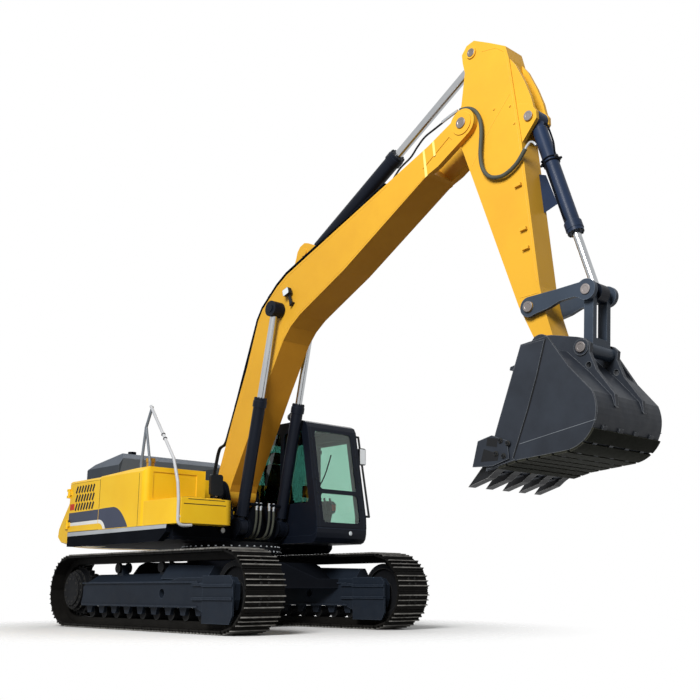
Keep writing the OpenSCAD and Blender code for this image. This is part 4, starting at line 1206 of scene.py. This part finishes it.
@dataclass
class UpperStructure:
    """Deck, engine bay, tank, steps, counterweight and rails."""

    half: float = 1495
    door_rear: float = -2245
    door_front: float = -1325
    film_thickness: float = 1.0
    hood_top: float = 2430

    def paint(self) -> None:
        """Dresses the solids of the upper structure."""
        dress(DARK_FRAME, "revolving_frame", "exhaust")
        dress(PANEL_YELLOW, "counterweight", "engine_cowl", "tank_housing", "step_box")
        dress(PANEL_YELLOW, "pump_door", "cooler_door", "battery_door")
        dress(GRILLE, "engine_block")
        dress(HOOD_GREY, "engine_hood")
        # The hood's faces below its top get the darker enamel: painted shade
        dress_faces("engine_hood", HOOD_SIDE_SHADE, lambda place, out: place.z < self.hood_top / 1000)
        dress(OCHRE, "filler_cap")
        dress(RAIL_GREY, "handrails")
        dress_faces("handrails", RAIL_DARK, lambda place, out: place.y > -(self.half - 5) / 1000)
        dress(PLASTIC, "right_mirror", "work_lamps")

    def film(self, name: str, outline: list[Place], body: Body, finish: Finish, side: int = -1) -> None:
        """Lays a film of paint on a side panel.

        Args:
            name: Piece's name.
            outline: Machine x and z of its corners.
            body: Body of the panel.
            finish: Surface.
            side: -1 for the right side, 1 for the left.
        """
        points = on_y(side * (self.half + FILM_GAP), outline)
        settle(plate(name, points, (0, side * self.film_thickness, 0), finish), body)

    def stripes(self) -> None:
        """Lays the sweeping stripe, its white line and the skirt on both sides."""
        low, cab_rear = 1408, -652
        nose = arc_between([(-880, 1712), (-660, 1690), (-462, low)], 14)
        heel = arc_between([(-1093, low), (-1165, 1552), (-1312, 1549)], 10)
        inner = arc_between([(-1166, low), (-1205, 1496), (-1312, 1495)], 8)
        rear, front, seam = self.door_rear + 4, self.door_front - 4, self.door_front + 9
        # The stripe's nose ends at the cab on the left
        short = [place for place in nose if place[0] < cab_rear]
        short.append((short[-1][0], low))
        for side, tag, door, panel, tip, skirt_end in (
            (-1, "right", Body.PUMP_DOOR, Body.UPPER, nose, [(545, 1346), (556, 1396)]),
            (1, "left", Body.COOLER_DOOR, Body.BATTERY_DOOR, short, [(-470, 1342), (-470, 1396)]),
        ):
            on_door = [(rear, 1693), (front, 1703), (front, 1549), (rear, 1541)]
            line_on_door = [(rear, 1540), (front, 1548), (front, 1495), (rear, 1492)]
            sweep = [(seam, 1704), (-1100, 1711)] + tip + heel + [(seam, 1549)]
            line_sweep = [(seam, 1548)] + heel[::-1] + inner + [(seam, 1495)]
            skirt = [(self.door_rear, 1335)] + skirt_end + [(self.door_rear, 1396)]
            for name, outline, body, finish in (
                ("stripe_door", on_door, door, STRIPE_BLUE),
                ("stripe_line_door", line_on_door, door, STRIPE_WHITE),
                ("stripe_sweep", sweep, panel, STRIPE_BLUE),
                ("stripe_line_sweep", line_sweep, panel, STRIPE_WHITE),
                ("skirt", skirt, Body.UPPER, SKIRT_GREY),
            ):
                self.film(f"{name}_{tag}", outline, body, finish, side)

    def marks(self) -> None:
        """Adds the reflector, the panels' seams, a dark sheet of painted shade under the deck's left edge and
        the mirror's face with its painted reflection.
        """
        self.film("reflector_right", oblong(-2225, 1735, -2085, 1830), Body.PUMP_DOOR, RED)
        for name, outline in (
            ("door_seam_1", oblong(-1316, 1400, -1307, 1408)),
            ("door_seam_2", oblong(-1316, 1716, -1307, 2150)),
            ("tank_seam_1", oblong(-206, 1400, -198, 1716)),
            ("tank_seam_2", oblong(-206, 1716, -198, 2150)),
        ):
            self.film(name, outline, Body.UPPER, GRILLE)
        guard = ((-2200, 1178), (-2200, 1120), (-2050, 1076), (560, 1076), (578, 1105), (578, 1178))
        for name, outline, deep, finish, slot in (
            ("step_seam_1", on_x(900.4, oblong(-1460, 1650, -770, 1661)), (1, 0, 0), GRILLE, "dark_steel"),
            ("step_seam_2", on_x(900.4, oblong(-1390, 1716, -790, 1725)), (1, 0, 0), GRILLE, "dark_steel"),
            # A dark sheet under the deck's left edge, filling the gap down to the track: painted shade
            ("deck_shade_sheet_left", on_y(1436, guard), (0, 20, 0), DARK_FRAME, "dark_steel"),
            # The pale mirror face on the housing's forward side: a painted reflection
            ("mirror_painted_reflection_right", on_x(429, oblong(-730, 1855, -545, 2125)), (-2, 0, 0), MIRROR, "chrome"),
        ):
            settle(plate(name, outline, deep, finish), Body.UPPER)

    def rails(self) -> None:
        """Adds the handrail's bent foot and collars, the low work lamp's lens and the step treads."""
        foot = (
            (870, -1525, 1486), (872, -1522, 1418), (880, -1500, 1382), (888, -1440, 1366), (890, -1320, 1372)
        )
        post = Vector((0.63, 0, -0.78))
        collars = [hoop(machine(x, -1525, z), post, 24, 16) for x, z in ((420, 2629), (470, 2567))]
        lens = ((0, 36), (6, 36), (11, 30), (13, 8))
        treads = [machine(x, y, 1754) for y in (-1280, -940) for x in range(110, 850, 38)]
        for made, slot in (
            (tubes("handrail_foot", [[machine(*spot) for spot in foot]], 21, RAIL_GREY), "rail_paint"),
            (tubes("handrail_collars", collars, 7, PLASTIC), "black_plastic"),
            (turned("work_lamp_lens", machine(617, -608, 1345), AHEAD, lens, LENS), "glass"),
            (bars("tread_bars", treads, UP, (9, 216, 8), GRILLE), "dark_steel"),
        ):
            settle(made, Body.UPPER)

    def screens(self) -> None:
        """Fills the slanting slots of the two rear doors with dark mesh."""
        lean, rows, columns = math.radians(25), 3, 7
        first_x, first_z, width, rise = -2024.2, 1776.2, 600, 132
        aim = Vector((math.sin(lean), 0, math.cos(lean)))
        grid = [(row, i) for row in range(rows) for i in range(columns)]
        spots = [(first_x + i * width / columns, first_z + row * rise) for row, i in grid]
        for side, panel in ((-1, Body.PUMP_DOOR), (1, Body.COOLER_DOOR)):
            for name, depth, size in (("screens", 7, (29, 4, 104)), ("liners", -0.8, (46, 1, 118))):
                places = on_y(side * (self.half - depth), spots)
                settle(bars(f"{panel.value}_{name}", places, aim, size, GRILLE), panel)

    def build(self) -> None:
        """Builds the upper structure's looks."""
        self.paint()
        self.stripes()
        self.marks()
        self.rails()
        self.screens()


@dataclass
class Cab:
    """Cab shell, glass, seat and small fittings."""

    right: float = 455
    left: float = 1440
    seat_base_half: float = 170
    pillar_foot: Place = (1405, 1560)
    pillar_lean: float = 225 / 1320
    bolt_inset: float = 70

    def paint(self) -> None:
        """Dresses the solids of the cab."""
        dress(SLATE, "cab_floor_pan", "cab_front", "cab_roof", "cab_rear_wall", "cab_right_side")
        dress(SLATE, "cab_left_side", "cab_door")
        dress(GLASS, "cab_glass", "cab_door_glass")
        dress_faces("cab_glass", SIDE_GLASS, lambda place, out: place.y < (self.right + 60) / 1000)
        dress(PLASTIC, "cab_controls", "cab_grab_rail")

    def cushion(self, name: str, low: Vector, high: Vector, lean: float, crown: float) -> Piece:
        """Makes a crowned cushion inside a box.

        Args:
            name: Piece's name.
            low: Lowest corner.
            high: Highest corner.
            lean: Slope of the box in degrees about the y axis.
            crown: How far the middle stands above the rim, in metres.

        Returns:
            The piece.
        """
        shape = bmesh.new()
        bmesh.ops.create_cube(shape, size=1)
        bmesh.ops.subdivide_edges(shape, edges=shape.edges, cuts=7, use_grid_fill=True)
        half = (high - low) / 2
        for v in shape.verts:
            x, y, z = v.co * 2
            pull = 1 - 0.05 * (1 - abs(x) ** 2) * abs(y) ** 3
            v.co = Vector((x * half.x * pull, y * half.y * (1 - 0.04 * z * z), z * half.z))
            if z > 0.99:
                v.co.z -= crown * max(abs(x), abs(y)) ** 4
        turn = Matrix.Rotation(math.radians(lean), 3, "Y")
        bmesh.ops.rotate(shape, verts=shape.verts, cent=Vector((0, 0, 0)), matrix=turn)
        bmesh.ops.translate(shape, verts=shape.verts, vec=(low + high) / 2)
        made = mesh_object(name, clean_mesh(shape, name, smooth=True), SEAT_CLOTH)
        rounding = made.modifiers.new("rounding", "SUBSURF")
        rounding.levels = 2
        rounding.render_levels = 2
        return made

    def seat(self) -> None:
        """Builds the operator's seat in place of its plain solid."""
        mid = (self.left + self.right) / 2
        outline = on_y(mid - self.seat_base_half, ((-50, 1352), (400, 1352), (420, 1630), (-60, 1630)))
        base = plate("seat_base", outline, (0, 2 * self.seat_base_half, 0), PLASTIC)
        settle(base, Body.UPPER)
        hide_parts("cab_seat")
        for name, x0, x1, half, z0, z1, lean, crown in (
            ("seat_cushion", -95, 455, 230, 1642, 1788, 0.0, 0.03),
            ("seat_back", -150, 0, 225, 1800, 2470, -10.0, 0.02),
            ("seat_headrest", -155, -65, 130, 2485, 2655, -8.0, 0.01),
        ):
            low, high = machine(x0, mid - half, z0), machine(x1, mid + half, z1)
            made = self.cushion(name, low, high, lean, crown)
            settle(made, Body.UPPER)

    def panels(self) -> None:
        """Adds the belly, the console's nose, the lock lever, the screen and the mirror's face."""
        belly = (
            (600, 1289), (600, 1192), (1290, 1190), (1352, 1212), (1390, 1262), (1407, 1330), (1410, 1400),
            (1385, 1329), (1300, 1289),
        )
        nose = ((600, 1352), (720, 1352), (760, 1640), (860, 1680), (880, 1800), (820, 1850), (600, 1850))
        lever, screen = oblong(1205, 1700, 1275, 1790), oblong(520, 1850, 760, 2010)
        mirror = oblong(1488, 2405, 1602, 2635)
        width = self.left - self.right - 8
        for name, outline, deep, finish, slot in (
            ("cab_belly", on_y(self.right + 4, belly), (0, width, 0), SLATE, "slate_paint"),
            ("left_console_nose", on_y(1192, nose), (0, 110, 0), PLASTIC, "black_plastic"),
            ("lock_lever", on_x(884, lever), (20, 0, 0), RED, "black_plastic"),
            ("cab_screen", on_x(1010, screen), (40, 0, 10), PLASTIC, "black_plastic"),
            # The mirror's near-white face: a painted reflection
            ("cab_mirror_face", on_x(1225.4, mirror), (2, 0, 0), MIRROR, "chrome"),
        ):
            settle(plate(name, outline, deep, finish), Body.UPPER)

    def fittings(self) -> None:
        """Adds pillar bolts, the low lamp, the travel levers, the wiper and the door's handle."""
        places = []
        for z in (1700, 1900, 2100, 2300, 2500, 2700):
            pillar = self.pillar_foot[0] - (z - self.pillar_foot[1]) * self.pillar_lean
            inside = (self.right + self.bolt_inset, self.left - self.bolt_inset)
            places += [machine(pillar, y, z) for y in inside]
        levers = [on_y(y, ((1010, 1360), (1090, 1640), (1060, 1860))) for y in (900, 1010)]
        sweep = ((1330, 120, 2000), (1290, 260, 2180), (1240, 420, 2480))
        wiper = [machine(x, self.right + y, z) for x, y, z in sweep]
        grip = on_x(1160, [(self.left + y, z) for y, z in ((0, 1980), (45, 1990), (45, 2150), (0, 2160))])
        lens = ((-12, 32), (6, 32), (12, 25), (14, 6))
        out = Vector((0.98, 0, 0.17))
        for made, body, slot in (
            (heads("pillar_bolts", places, out, (11, 9), PLASTIC), Body.UPPER, "black_plastic"),
            (turned("cab_low_lamp", machine(1402, 1117, 1335), AHEAD, lens, LENS), Body.UPPER, "glass"),
            (tubes("travel_levers", levers, 16, PLASTIC), Body.UPPER, "black_plastic"),
            (tubes("wiper_arm", [wiper], 9, PLASTIC), Body.UPPER, "black_plastic"),
            (tubes("door_handle", [grip], 10, PLASTIC), Body.CAB_DOOR, "black_plastic"),
        ):
            settle(made, body)

    def roof_lamp(self) -> None:
        """Stands the work lamp on the roof's right edge, on its bent foot."""
        y = self.right + 75
        foot = on_y(y - 15, ((690, 2983), (770, 2983), (750, 3020), (710, 3020)))
        settle(plate("roof_lamp_foot", foot, (0, 30, 0), DARK_FRAME), Body.UPPER)
        middle, way = machine(735, y, 3082), Vector((1, 0, 0.05))
        case = ((-60, 30), (-52, 52), (-10, 66), (0, 70), (12, 70), (12, 60), (8, 58), (8, 6))
        settle(turned("roof_lamp_case", middle, way, case, PLASTIC), Body.UPPER)
        lens = ((7, 58), (10, 58), (15, 40), (17, 8))
        settle(turned("roof_lamp_lens", middle, way, lens, LENS), Body.UPPER)

    def build(self) -> None:
        """Builds the cab's looks."""
        self.paint()
        self.seat()
        self.panels()
        self.fittings()
        self.roof_lamp()


@dataclass
class WorkingArm:
    """Boom, arm, cylinders, linkage and bucket."""

    boom_half: float = 245
    arm_half: float = 165
    bucket_mouth: float = 700
    bucket_lean: float = 4
    heel_middle: Place = (517, 768)
    heel_radius: float = 406
    rod_eye: float = 150
    lamp_reach: float = 95
    cutter_plate: float = 30

    def paint(self) -> None:
        """Dresses the solids of the working arm."""
        dress(BOOM_YELLOW, "boom", "arm")
        # The boom's downward faces get the browner enamel: painted shade under the boom
        dress_faces("boom", BOOM_UNDERSIDE_SHADE, lambda place, out: out.z < -0.35 and abs(out.y) < 0.5)
        dress(DARK_FRAME, "boom_pipes")
        dress(PLASTIC, "boom_lamp")
        dress(SLATE, "boom_cylinder_tubes", "arm_cylinder_tube")
        dress(BARREL, "bucket_cylinder_tube")
        dress(LINK_SLATE, "rocker_links", "h_link")
        dress(BUCKET_PLATE, "bucket", "side_cutters")
        dress(FORGED, "bucket_teeth")
        for rod, pin in (
            ("boom_cylinder_rods", BOOM.at(*BOOM_ROD_PIN, 0)),
            ("arm_cylinder_rod", ARM.at(*ARM_ROD_PIN, 0)),
            ("bucket_cylinder_rod", ARM.at(*BUCKET_ROD_PIN, 0)),
        ):
            dress(CHROME, rod)
            eye = self.rod_eye / 1000
            dress_faces(rod, SLATE, lambda place, out, pin=pin, eye=eye: (place - pin).xz.length < eye)

    def stripes(self) -> None:
        """Lays the two slanting stripes near the boom's tip on both sides."""
        bands = (
            ((5800, 328), (5832, 316), (5618, 6), (5576, 22)),
            ((5965, 268), (6000, 254), (5880, 84), (5846, 98)),
        )
        for side, tag in SIDES:
            for i, band in enumerate(bands, 1):
                points = BOOM.line(side * (self.boom_half + FILM_GAP), band)
                made = plate(f"boom_band_{tag}_{i}", points, (0, side, 0), STRIPE_PALE)
                settle(made, Body.BOOM)

    def pin_caps(self) -> None:
        """Puts turned caps on the ends of the main pins."""
        for name, centre, reach, radius, body in (
            ("boom_foot_cap", BOOM.at(0, 0, 0), 349, 62, Body.UPPER),
            ("arm_pin_cap", ARM.at(0, 0, 0), 270, 70, Body.BOOM),
            ("arm_ram_cap", ARM.at(*ARM_ROD_PIN, 0), 185, 55, Body.ARM),
            ("bucket_ram_cap", ARM.at(*BUCKET_FOOT_PIN, 0), 165, 60, Body.ARM),
            ("rocker_cap", ARM.at(2696, -11, 0), 250, 62, Body.ARM),
            ("bucket_cap", BUCKET.at(0, 0, 0), 316, 64, Body.ARM),
            ("link_cap", ARM.at(*BUCKET_ROD_PIN, 0), 236, 58, Body.ROCKER),
            ("ear_cap", ARM.at(3486, 445, 0), 315, 58, Body.BUCKET),
        ):
            dish = [(8, radius - 4), (8, radius * 0.62), (5, radius * 0.55), (5, 6)]
            for side, tag in SIDES:
                out = Vector((0, side, 0))
                rings = [(-2, radius), (5, radius)] + dish
                made = turned(f"{name}_{tag}", centre + out * reach / 1000, out, rings, PIN_STEEL)
                settle(made, body)

    def arm_plates(self) -> None:
        """Adds the arm's side bolts, the webs to the bucket cylinder's ears and the grey hose guard."""
        spots = ARM.line(-self.arm_half, ((99, 439), (223, 648), (471, 615)))
        made = heads("arm_side_bolts", spots, Vector((0, -1, 0)), (15, 14), BOOM_YELLOW)
        settle(made, Body.ARM)
        web = (
            (-370, 862), (-230, 900), (60, 925), (300, 925), (452, 905), (560, 815), (420, 690), (180, 742)
        )
        for side, tag in SIDES:
            made = plate(f"arm_web_{tag}", ARM.line(side * 96, web), (0, side * 48, 0), BOOM_YELLOW)
            settle(made, Body.ARM)
        guard = ARM.line(115, ((1075, 520), (1566, 398), (1574, 604), (1150, 604)))
        settle(plate("arm_hose_guard", guard, (0, 8, 0), BARREL), Body.ARM)

    def boom_lamp_lens(self) -> None:
        """Sets the lens with its rounded corners into the boom lamp's outer face."""
        lamp = SideFrame(2975, 1075, -25)
        radius = 14
        corners = []
        for u, v, first in ((46, 31, 0), (-46, 31, 90), (-46, -31, 180), (46, -31, 270)):
            for a in (math.radians(first + step) for step in (0, 45, 90)):
                corners.append(lamp.side(u + radius * math.cos(a), v + radius * math.sin(a)))
        outline = BOOM.line(-(self.boom_half + self.lamp_reach + FILM_GAP), corners)
        settle(plate("boom_lamp_lens", outline, (0, -4, 0), LENS), Body.BOOM)

    def welds(self) -> None:
        """Draws the weld beads along the arm's and the boom's plates, under the paint."""
        arm_lines = (
            ((74, 700), (284, 304), (562, -110)),
            ((-760, 560), (-640, 760), (-500, 840), (-360, 830), (642, 606), (1500, 392), (2440, 160)),
            ((2500, -110), (2575, 130)),
        )
        boom_lines = (
            (
                (150, 255), (861, 640), (1567, 968), (2239, 1332), (2420, 1382), (2850, 1372), (3100, 1325),
                (5130, 552),
            ),
            (
                (249, -20), (836, 176), (1675, 466), (2410, 700), (2650, 726), (2890, 696), (3190, 612),
                (3869, 420), (5560, 50),
            ),
        )
        for frame, lines, half, body in (
            (ARM, arm_lines, self.arm_half, Body.ARM),
            (BOOM, boom_lines, self.boom_half, Body.BOOM),
        ):
            paths = []
            for side, _ in SIDES:
                for line in lines:
                    paths += [frame.line(side * half, pair) for pair in zip(line, line[1:])]
            settle(tubes(f"{body.value}_weld_beads", paths, 4.5, BOOM_YELLOW), body)

    def ram_pipes(self) -> None:
        """Runs the bucket cylinder's pipes and clamps and bolts the glands of all cylinders."""
        beside = ((610, -70, -92), (650, -28, -108), (1000, -28, -108), (1380, -28, -108), (1440, -20, -100))
        above = ((150, 96, -40), (190, 132, -50), (420, 138, -55), (520, 122, -55), (585, 96, -40))
        pipes = [[BUCKET_RAM.at(*spot) for spot in route] for route in (beside, above)]
        clamps = [hoop(BUCKET_RAM.at(u, 0, 0), BUCKET_RAM.way(1, 0), 94, 24) for u in (596, 640)]
        corners = ((1, -40), (1, 40), (-1, -40), (-1, 40))
        places = [BUCKET_RAM.at(618, out * 98, y) for out, y in corners]
        aims = [BUCKET_RAM.way(0, out) for out, _ in corners]
        for made in (
            tubes("bucket_ram_pipes", pipes, 11, DARK_FRAME),
            tubes("bucket_ram_clamps", clamps, 9, DARK_FRAME),
            heads("bucket_ram_clamp_bolts", places, aims, (16, 26), PLASTIC),
        ):
            settle(made, Body.BUCKET_TUBE)
        for tag, frame, radius, length, body, rows in (
            ("bucket", BUCKET_RAM, 81, 1604, Body.BUCKET_TUBE, (0,)),
            ("arm", ARM_RAM, 98, 1985, Body.ARM_TUBE, (0,)),
            ("boom", BOOM_RAM, 79, 1840, Body.BOOM_TUBES, (-355, 355)),
        ):
            way = frame.way(1, 0)
            places = [p for y in rows for p in circle_points(frame.at(length, 0, y), way, radius, 12)]
            settle(heads(f"{tag}_gland_bolts", places, way, (9, 12), PLASTIC), body)

    def bucket_half(self, v: float) -> float:
        """Finds half the bucket's width at a height, since its side plates lean.

        Args:
            v: Distance across the tooth line.

        Returns:
            Half the width in millimetres.
        """
        return self.bucket_mouth - (v - 100) * math.sin(math.radians(self.bucket_lean))

    def on_bucket_side(self, side: int, out: float, places: Iterable[Place]) -> list[Vector]:
        """Finds places on one of the bucket's leaning side plates.

        Args:
            side: -1 for the right plate, 1 for the left.
            out: Distance outwards from the plate in millimetres.
            places: Along and across the bucket's tooth line.

        Returns:
            Points in metres.
        """
        return [BUCKET.at(u, v, side * (self.bucket_half(v) + out)) for u, v in places]

    def bucket_sides(self) -> None:
        """Adds the side bars, the cutters' bolts, dark films of painted shade in the cutters' pockets and
        wells, and the weld beads to both bucket sides.
        """
        bar = (
            (48, 72), (990, 144), (1400, 192), (1172, 478), (1160, 446), (653, 416), (266, 377), (-100, 322)
        )
        seam = (
            (-112, 333), (266, 390), (653, 429), (1158, 458), (1160, 447), (653, 417), (266, 378), (-102, 323)
        )
        # Dark films on the cutters stand for the shade in their pockets and wells: painted shade
        pocket = ((1080, 85), (1042, 212), (1128, 236), (1166, 104))
        well = ((1208, 90), (1184, 288), (1254, 300), (1348, 108))
        spots = ((1050, 250), (1040, 345), (1195, 250), (1180, 350))
        bead = ((1001, 460), (730, 815), (457, 1176))
        on_cutter = self.cutter_plate + FILM_GAP
        for side, tag in SIDES:
            for name, outline, out, deep, finish in (
                ("side_bar", bar, FILM_GAP, 10, BUCKET_PLATE),
                ("side_seam", seam, FILM_GAP, 1, GRILLE),
                ("cutter_pocket_shade", pocket, on_cutter, 1, GRILLE),
                ("cutter_well_shade", well, on_cutter, 1, GRILLE),
            ):
                points = self.on_bucket_side(side, out, outline)
                made = plate(f"bucket_{name}_{tag}", points, (0, side * deep, 0), finish)
                settle(made, Body.BUCKET)
            places = self.on_bucket_side(side, self.cutter_plate, spots)
            made = heads(f"cutter_bolts_{tag}", places, Vector((0, side, 0)), (22, 20), CAST)
            settle(made, Body.BUCKET)
            made = tubes(f"bucket_weld_{tag}", [self.on_bucket_side(side, 0, bead)], 3.5, WELD)
            settle(made, Body.BUCKET)

    def wear_plates(self) -> None:
        """Lays the wear plates across the bucket's floor and heel, with a joint between each two."""
        first_angle, turn, pieces = 170, 140, 28
        joint, steps_on_plate = 14, 6
        low, high, overhang = 0.4, 23.0, 8
        # Ends of the plates, from the cutting edge back round the heel
        ends = (8, 130, 255, 385, 530, 690, 870, 1060, 1235)
        line = []
        for i in range(pieces + 1):
            a = math.radians(first_angle - i * turn / pieces)
            u, v = self.heel_middle
            line.append((u + self.heel_radius * math.cos(a), v + self.heel_radius * math.sin(a)))
        line += [(1164, 495), (1330, 294)]
        run = [0.0]
        for a, b in zip(line, line[1:]):
            run.append(run[-1] + math.dist(a, b))
        stations = [run[-1] - end for end in ends]
        for i, (end, start) in enumerate(zip(stations, stations[1:]), 1):
            step = (end - start - 2 * joint) / steps_on_plate
            distances = [start + joint + k * step for k in range(steps_on_plate + 1)]
            under = [self.along(line, run, d, low) for d in distances]
            over = [self.along(line, run, d, high) for d in reversed(distances)]
            half = min(self.bucket_half(v) for _, v in under) + overhang
            points = BUCKET.line(-half, under + over)
            # The plates' dark brownish finish is painted shade under the bucket
            made = plate(f"bucket_wear_plate_{i}", points, (0, 2 * half, 0), WEAR_PLATE)
            settle(made, Body.BUCKET)

    def along(self, line: list[Place], run: list[float], distance: float, out: float) -> Place:
        """Finds a place at a distance along a line and off it to its left.

        Args:
            line: Corner points.
            run: Distance of each corner from the start.
            distance: Distance along the line.
            out: Distance off the line.

        Returns:
            The place.
        """
        i = max(k for k in range(len(run) - 1) if run[k] <= distance)
        (x0, z0), (x1, z1) = line[i], line[i + 1]
        size = run[i + 1] - run[i]
        t, off = (distance - run[i]) / size, out / size
        return x0 + t * (x1 - x0) - off * (z1 - z0), z0 + t * (z1 - z0) + off * (x1 - x0)

    def arm_hoses(self) -> None:
        """Runs the hoses at the boom's tip, each held by a fitting at both ends."""
        y = -218
        loop = (
            (-205, 30), (-150, 128), (-60, 205), (60, 238), (181, 229), (305, 190), (431, 132), (559, 76),
            (703, 43), (831, 56), (940, 120), (1016, 245), (1026, 378), (996, 508), (915, 650),
        )
        made = tubes("arm_hose", [ARM.line(y, loop)], 25, HOSE_SLEEVE)
        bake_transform(made, "boom", "arm", tuple(ARM.at(-205, 30, y)), tuple(ARM.at(305, 190, y)))
        elbow = ARM.line(y, ((930, 628), (893, 690), (885, 740), (920, 775), (975, 790)))
        route = (
            (5250, 560), (5420, 560), (5622, 500), (5785, 498), (5946, 478), (6121, 396), (6266, 325),
            (6384, 268),
        )
        feed = BOOM.line(-205, route)
        fitting = BOOM.line(-212, ((6235, 344), (6384, 268), (6470, 214)))
        settle(tubes("arm_hose_end", [elbow], 15, ZINC), Body.ARM)
        settle(tubes("boom_tip_hose", [feed], 13, HOSE_RUBBER), Body.BOOM)
        settle(tubes("boom_tip_fitting", [fitting], 20, ZINC), Body.BOOM)

    def foot_hoses(self) -> None:
        """Hangs the four hoses between the boom cylinders' feet and the deck, on their pipes."""
        drops = ((0, 0), (0.005, -0.12), (-0.01, -0.25), (-0.06, -0.37), (-0.17, -0.44), (-0.3, -0.445))
        collar = ((-60, 14), (-60, 22), (-20, 22), (-20, 26), (10, 26), (10, 20), (50, 20))
        for i, y in enumerate((-150, -75, 80, 160), 1):
            top = BOOM_RAM.at(300, -40, y)
            path = [top + Vector((x, 0, z)) for x, z in drops]
            made = tubes(f"boom_foot_hose_{i}", [path], 17, HOSE_SLEEVE)
            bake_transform(made, "boom_cylinder_tubes", "upper", tuple(path[1]), tuple(path[-2]))
            made = turned(f"foot_hose_collar_{i}", top, -UP, collar, ZINC)
            settle(made, Body.BOOM_TUBES)
        for tag, reach in (("right", (-270, -165, -60)), ("left", (270, 170, 70))):
            pipe = [BOOM_RAM.at(330, -40, y) for y in reach]
            made = tubes(f"foot_hose_pipe_{tag}", [pipe], 24, DARK_FRAME)
            settle(made, Body.BOOM_TUBES)

    def rear_hoses(self) -> None:
        """Runs the hoses behind the boom's foot down to the deck."""
        on_boom = ((960, 766), (905, 737), (700, 640), (500, 560))
        to_deck = ((-70, 2600), (-150, 2380), (-205, 2150), (-235, 1900), (-245, 1700))
        for i, y in enumerate((-231, -203, 203, 231), 1):
            points = BOOM.line(y, on_boom) + on_y(y, to_deck)
            made = tubes(f"boom_rear_hose_{i}", [points], 15, HOSE_RUBBER)
            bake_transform(made, "upper", "boom", tuple(points[-2]), tuple(points[3]))

    def build(self) -> None:
        """Builds the working arm's looks."""
        self.paint()
        self.stripes()
        self.pin_caps()
        self.arm_plates()
        self.boom_lamp_lens()
        self.welds()
        self.ram_pipes()
        self.bucket_sides()
        self.wear_plates()
        self.arm_hoses()
        self.foot_hoses()
        self.rear_hoses()


@dataclass
class Studio:
    """Camera, lamps, floor and background."""

    position: tuple[float, float, float] = (11809, -8670, 548)
    azimuth: float = 46.781
    elevation: float = -14.003
    lens: float = 49.25
    sensor: float = 36
    middle: tuple[float, float, float] = (0, 0, 2.5)

    def hang(self, name: str, data: bpy.types.ID, place: Vector, way: Vector) -> Piece:
        """Puts a camera or lamp into the scene.

        Args:
            name: Its name.
            data: Camera or lamp data.
            place: Where it is, in metres.
            way: Direction that it looks in.

        Returns:
            The new object.
        """
        made = bpy.data.objects.new(name, data)
        made.location = place
        made.rotation_mode = "QUATERNION"
        made.rotation_quaternion = way.to_track_quat("-Z", "Y")
        bpy.context.scene.collection.objects.link(made)
        return made

    def camera(self) -> None:
        """Sets the camera at the photograph's view."""
        data = bpy.data.cameras.new("camera")
        data.sensor_width = self.sensor
        data.lens = self.lens
        data.clip_start = 0.1
        data.clip_end = 500
        a, e = math.radians(self.azimuth), math.radians(self.elevation)
        way = Vector((-math.sin(a) * math.cos(e), math.cos(a) * math.cos(e), -math.sin(e)))
        bpy.context.scene.camera = self.hang("camera", data, machine(*self.position), way)

    def lamp(self, name: str, place: tuple[float, float, float], size: float, watts: float) -> None:
        """Adds a soft square lamp that looks at the machine's middle.

        Args:
            name: Lamp's name.
            place: Where it hangs, in metres.
            size: Side in metres.
            watts: Power.
        """
        data = bpy.data.lights.new(name, "AREA")
        data.shape = "SQUARE"
        data.size = size
        data.energy = watts
        self.hang(name, data, Vector(place), Vector(self.middle) - Vector(place))

    def background(self) -> None:
        """Makes the world: soft light on the machine, white to the eye, to gloss and through glass."""
        world = bpy.data.worlds.new("studio")
        bpy.context.scene.world = world
        world.use_nodes = True
        tree = world.node_tree
        tree.nodes.clear()
        path = add_node(tree, "ShaderNodeLightPath")
        seen = path.outputs["Is Camera Ray"]
        for kind in ("Is Glossy Ray", "Is Transmission Ray"):
            rays = {0: seen, 1: path.outputs[kind]}
            seen = add_node(tree, "ShaderNodeMath", {"operation": "MAXIMUM"}, links=rays).outputs["Value"]
        soft = add_node(tree, "ShaderNodeBackground", values={"Color": linear("#F4F6F8"), "Strength": 0.16})
        white = add_node(tree, "ShaderNodeBackground", values={"Color": (1, 1, 1, 1), "Strength": 1.0})
        lights = {0: seen, 1: soft.outputs["Background"], 2: white.outputs["Background"]}
        both = add_node(tree, "ShaderNodeMixShader", links=lights)
        add_node(tree, "ShaderNodeOutputWorld", links={"Surface": both.outputs["Shader"]})

    def floor(self) -> None:
        """Lays a wide pale floor under the tracks."""
        shape = bmesh.new()
        bmesh.ops.create_grid(shape, x_segments=8, y_segments=8, size=60)
        bmesh.ops.translate(shape, verts=shape.verts, vec=Vector((0, 0, -0.002)))
        mesh_object("floor", clean_mesh(shape, "floor"), FLOOR)

    def build(self) -> None:
        """Builds the studio."""
        bpy.context.scene.view_settings.view_transform = "Standard"
        self.camera()
        self.background()
        self.floor()
        self.lamp("key", (7.0, -12.5, 11.0), 6.0, 3300)
        self.lamp("rear", (-12.0, 10.0, 12.0), 9.0, 500)


def main() -> None:
    """Dresses the machine."""
    logging.basicConfig(level=logging.INFO, format="%(name)s: %(message)s")
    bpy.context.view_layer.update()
    for assembly in (Studio(), Undercarriage(), UpperStructure(), Cab(), WorkingArm()):
        assembly.build()
    bpy.context.view_layer.update()


if __name__ == "__main__":
    main()
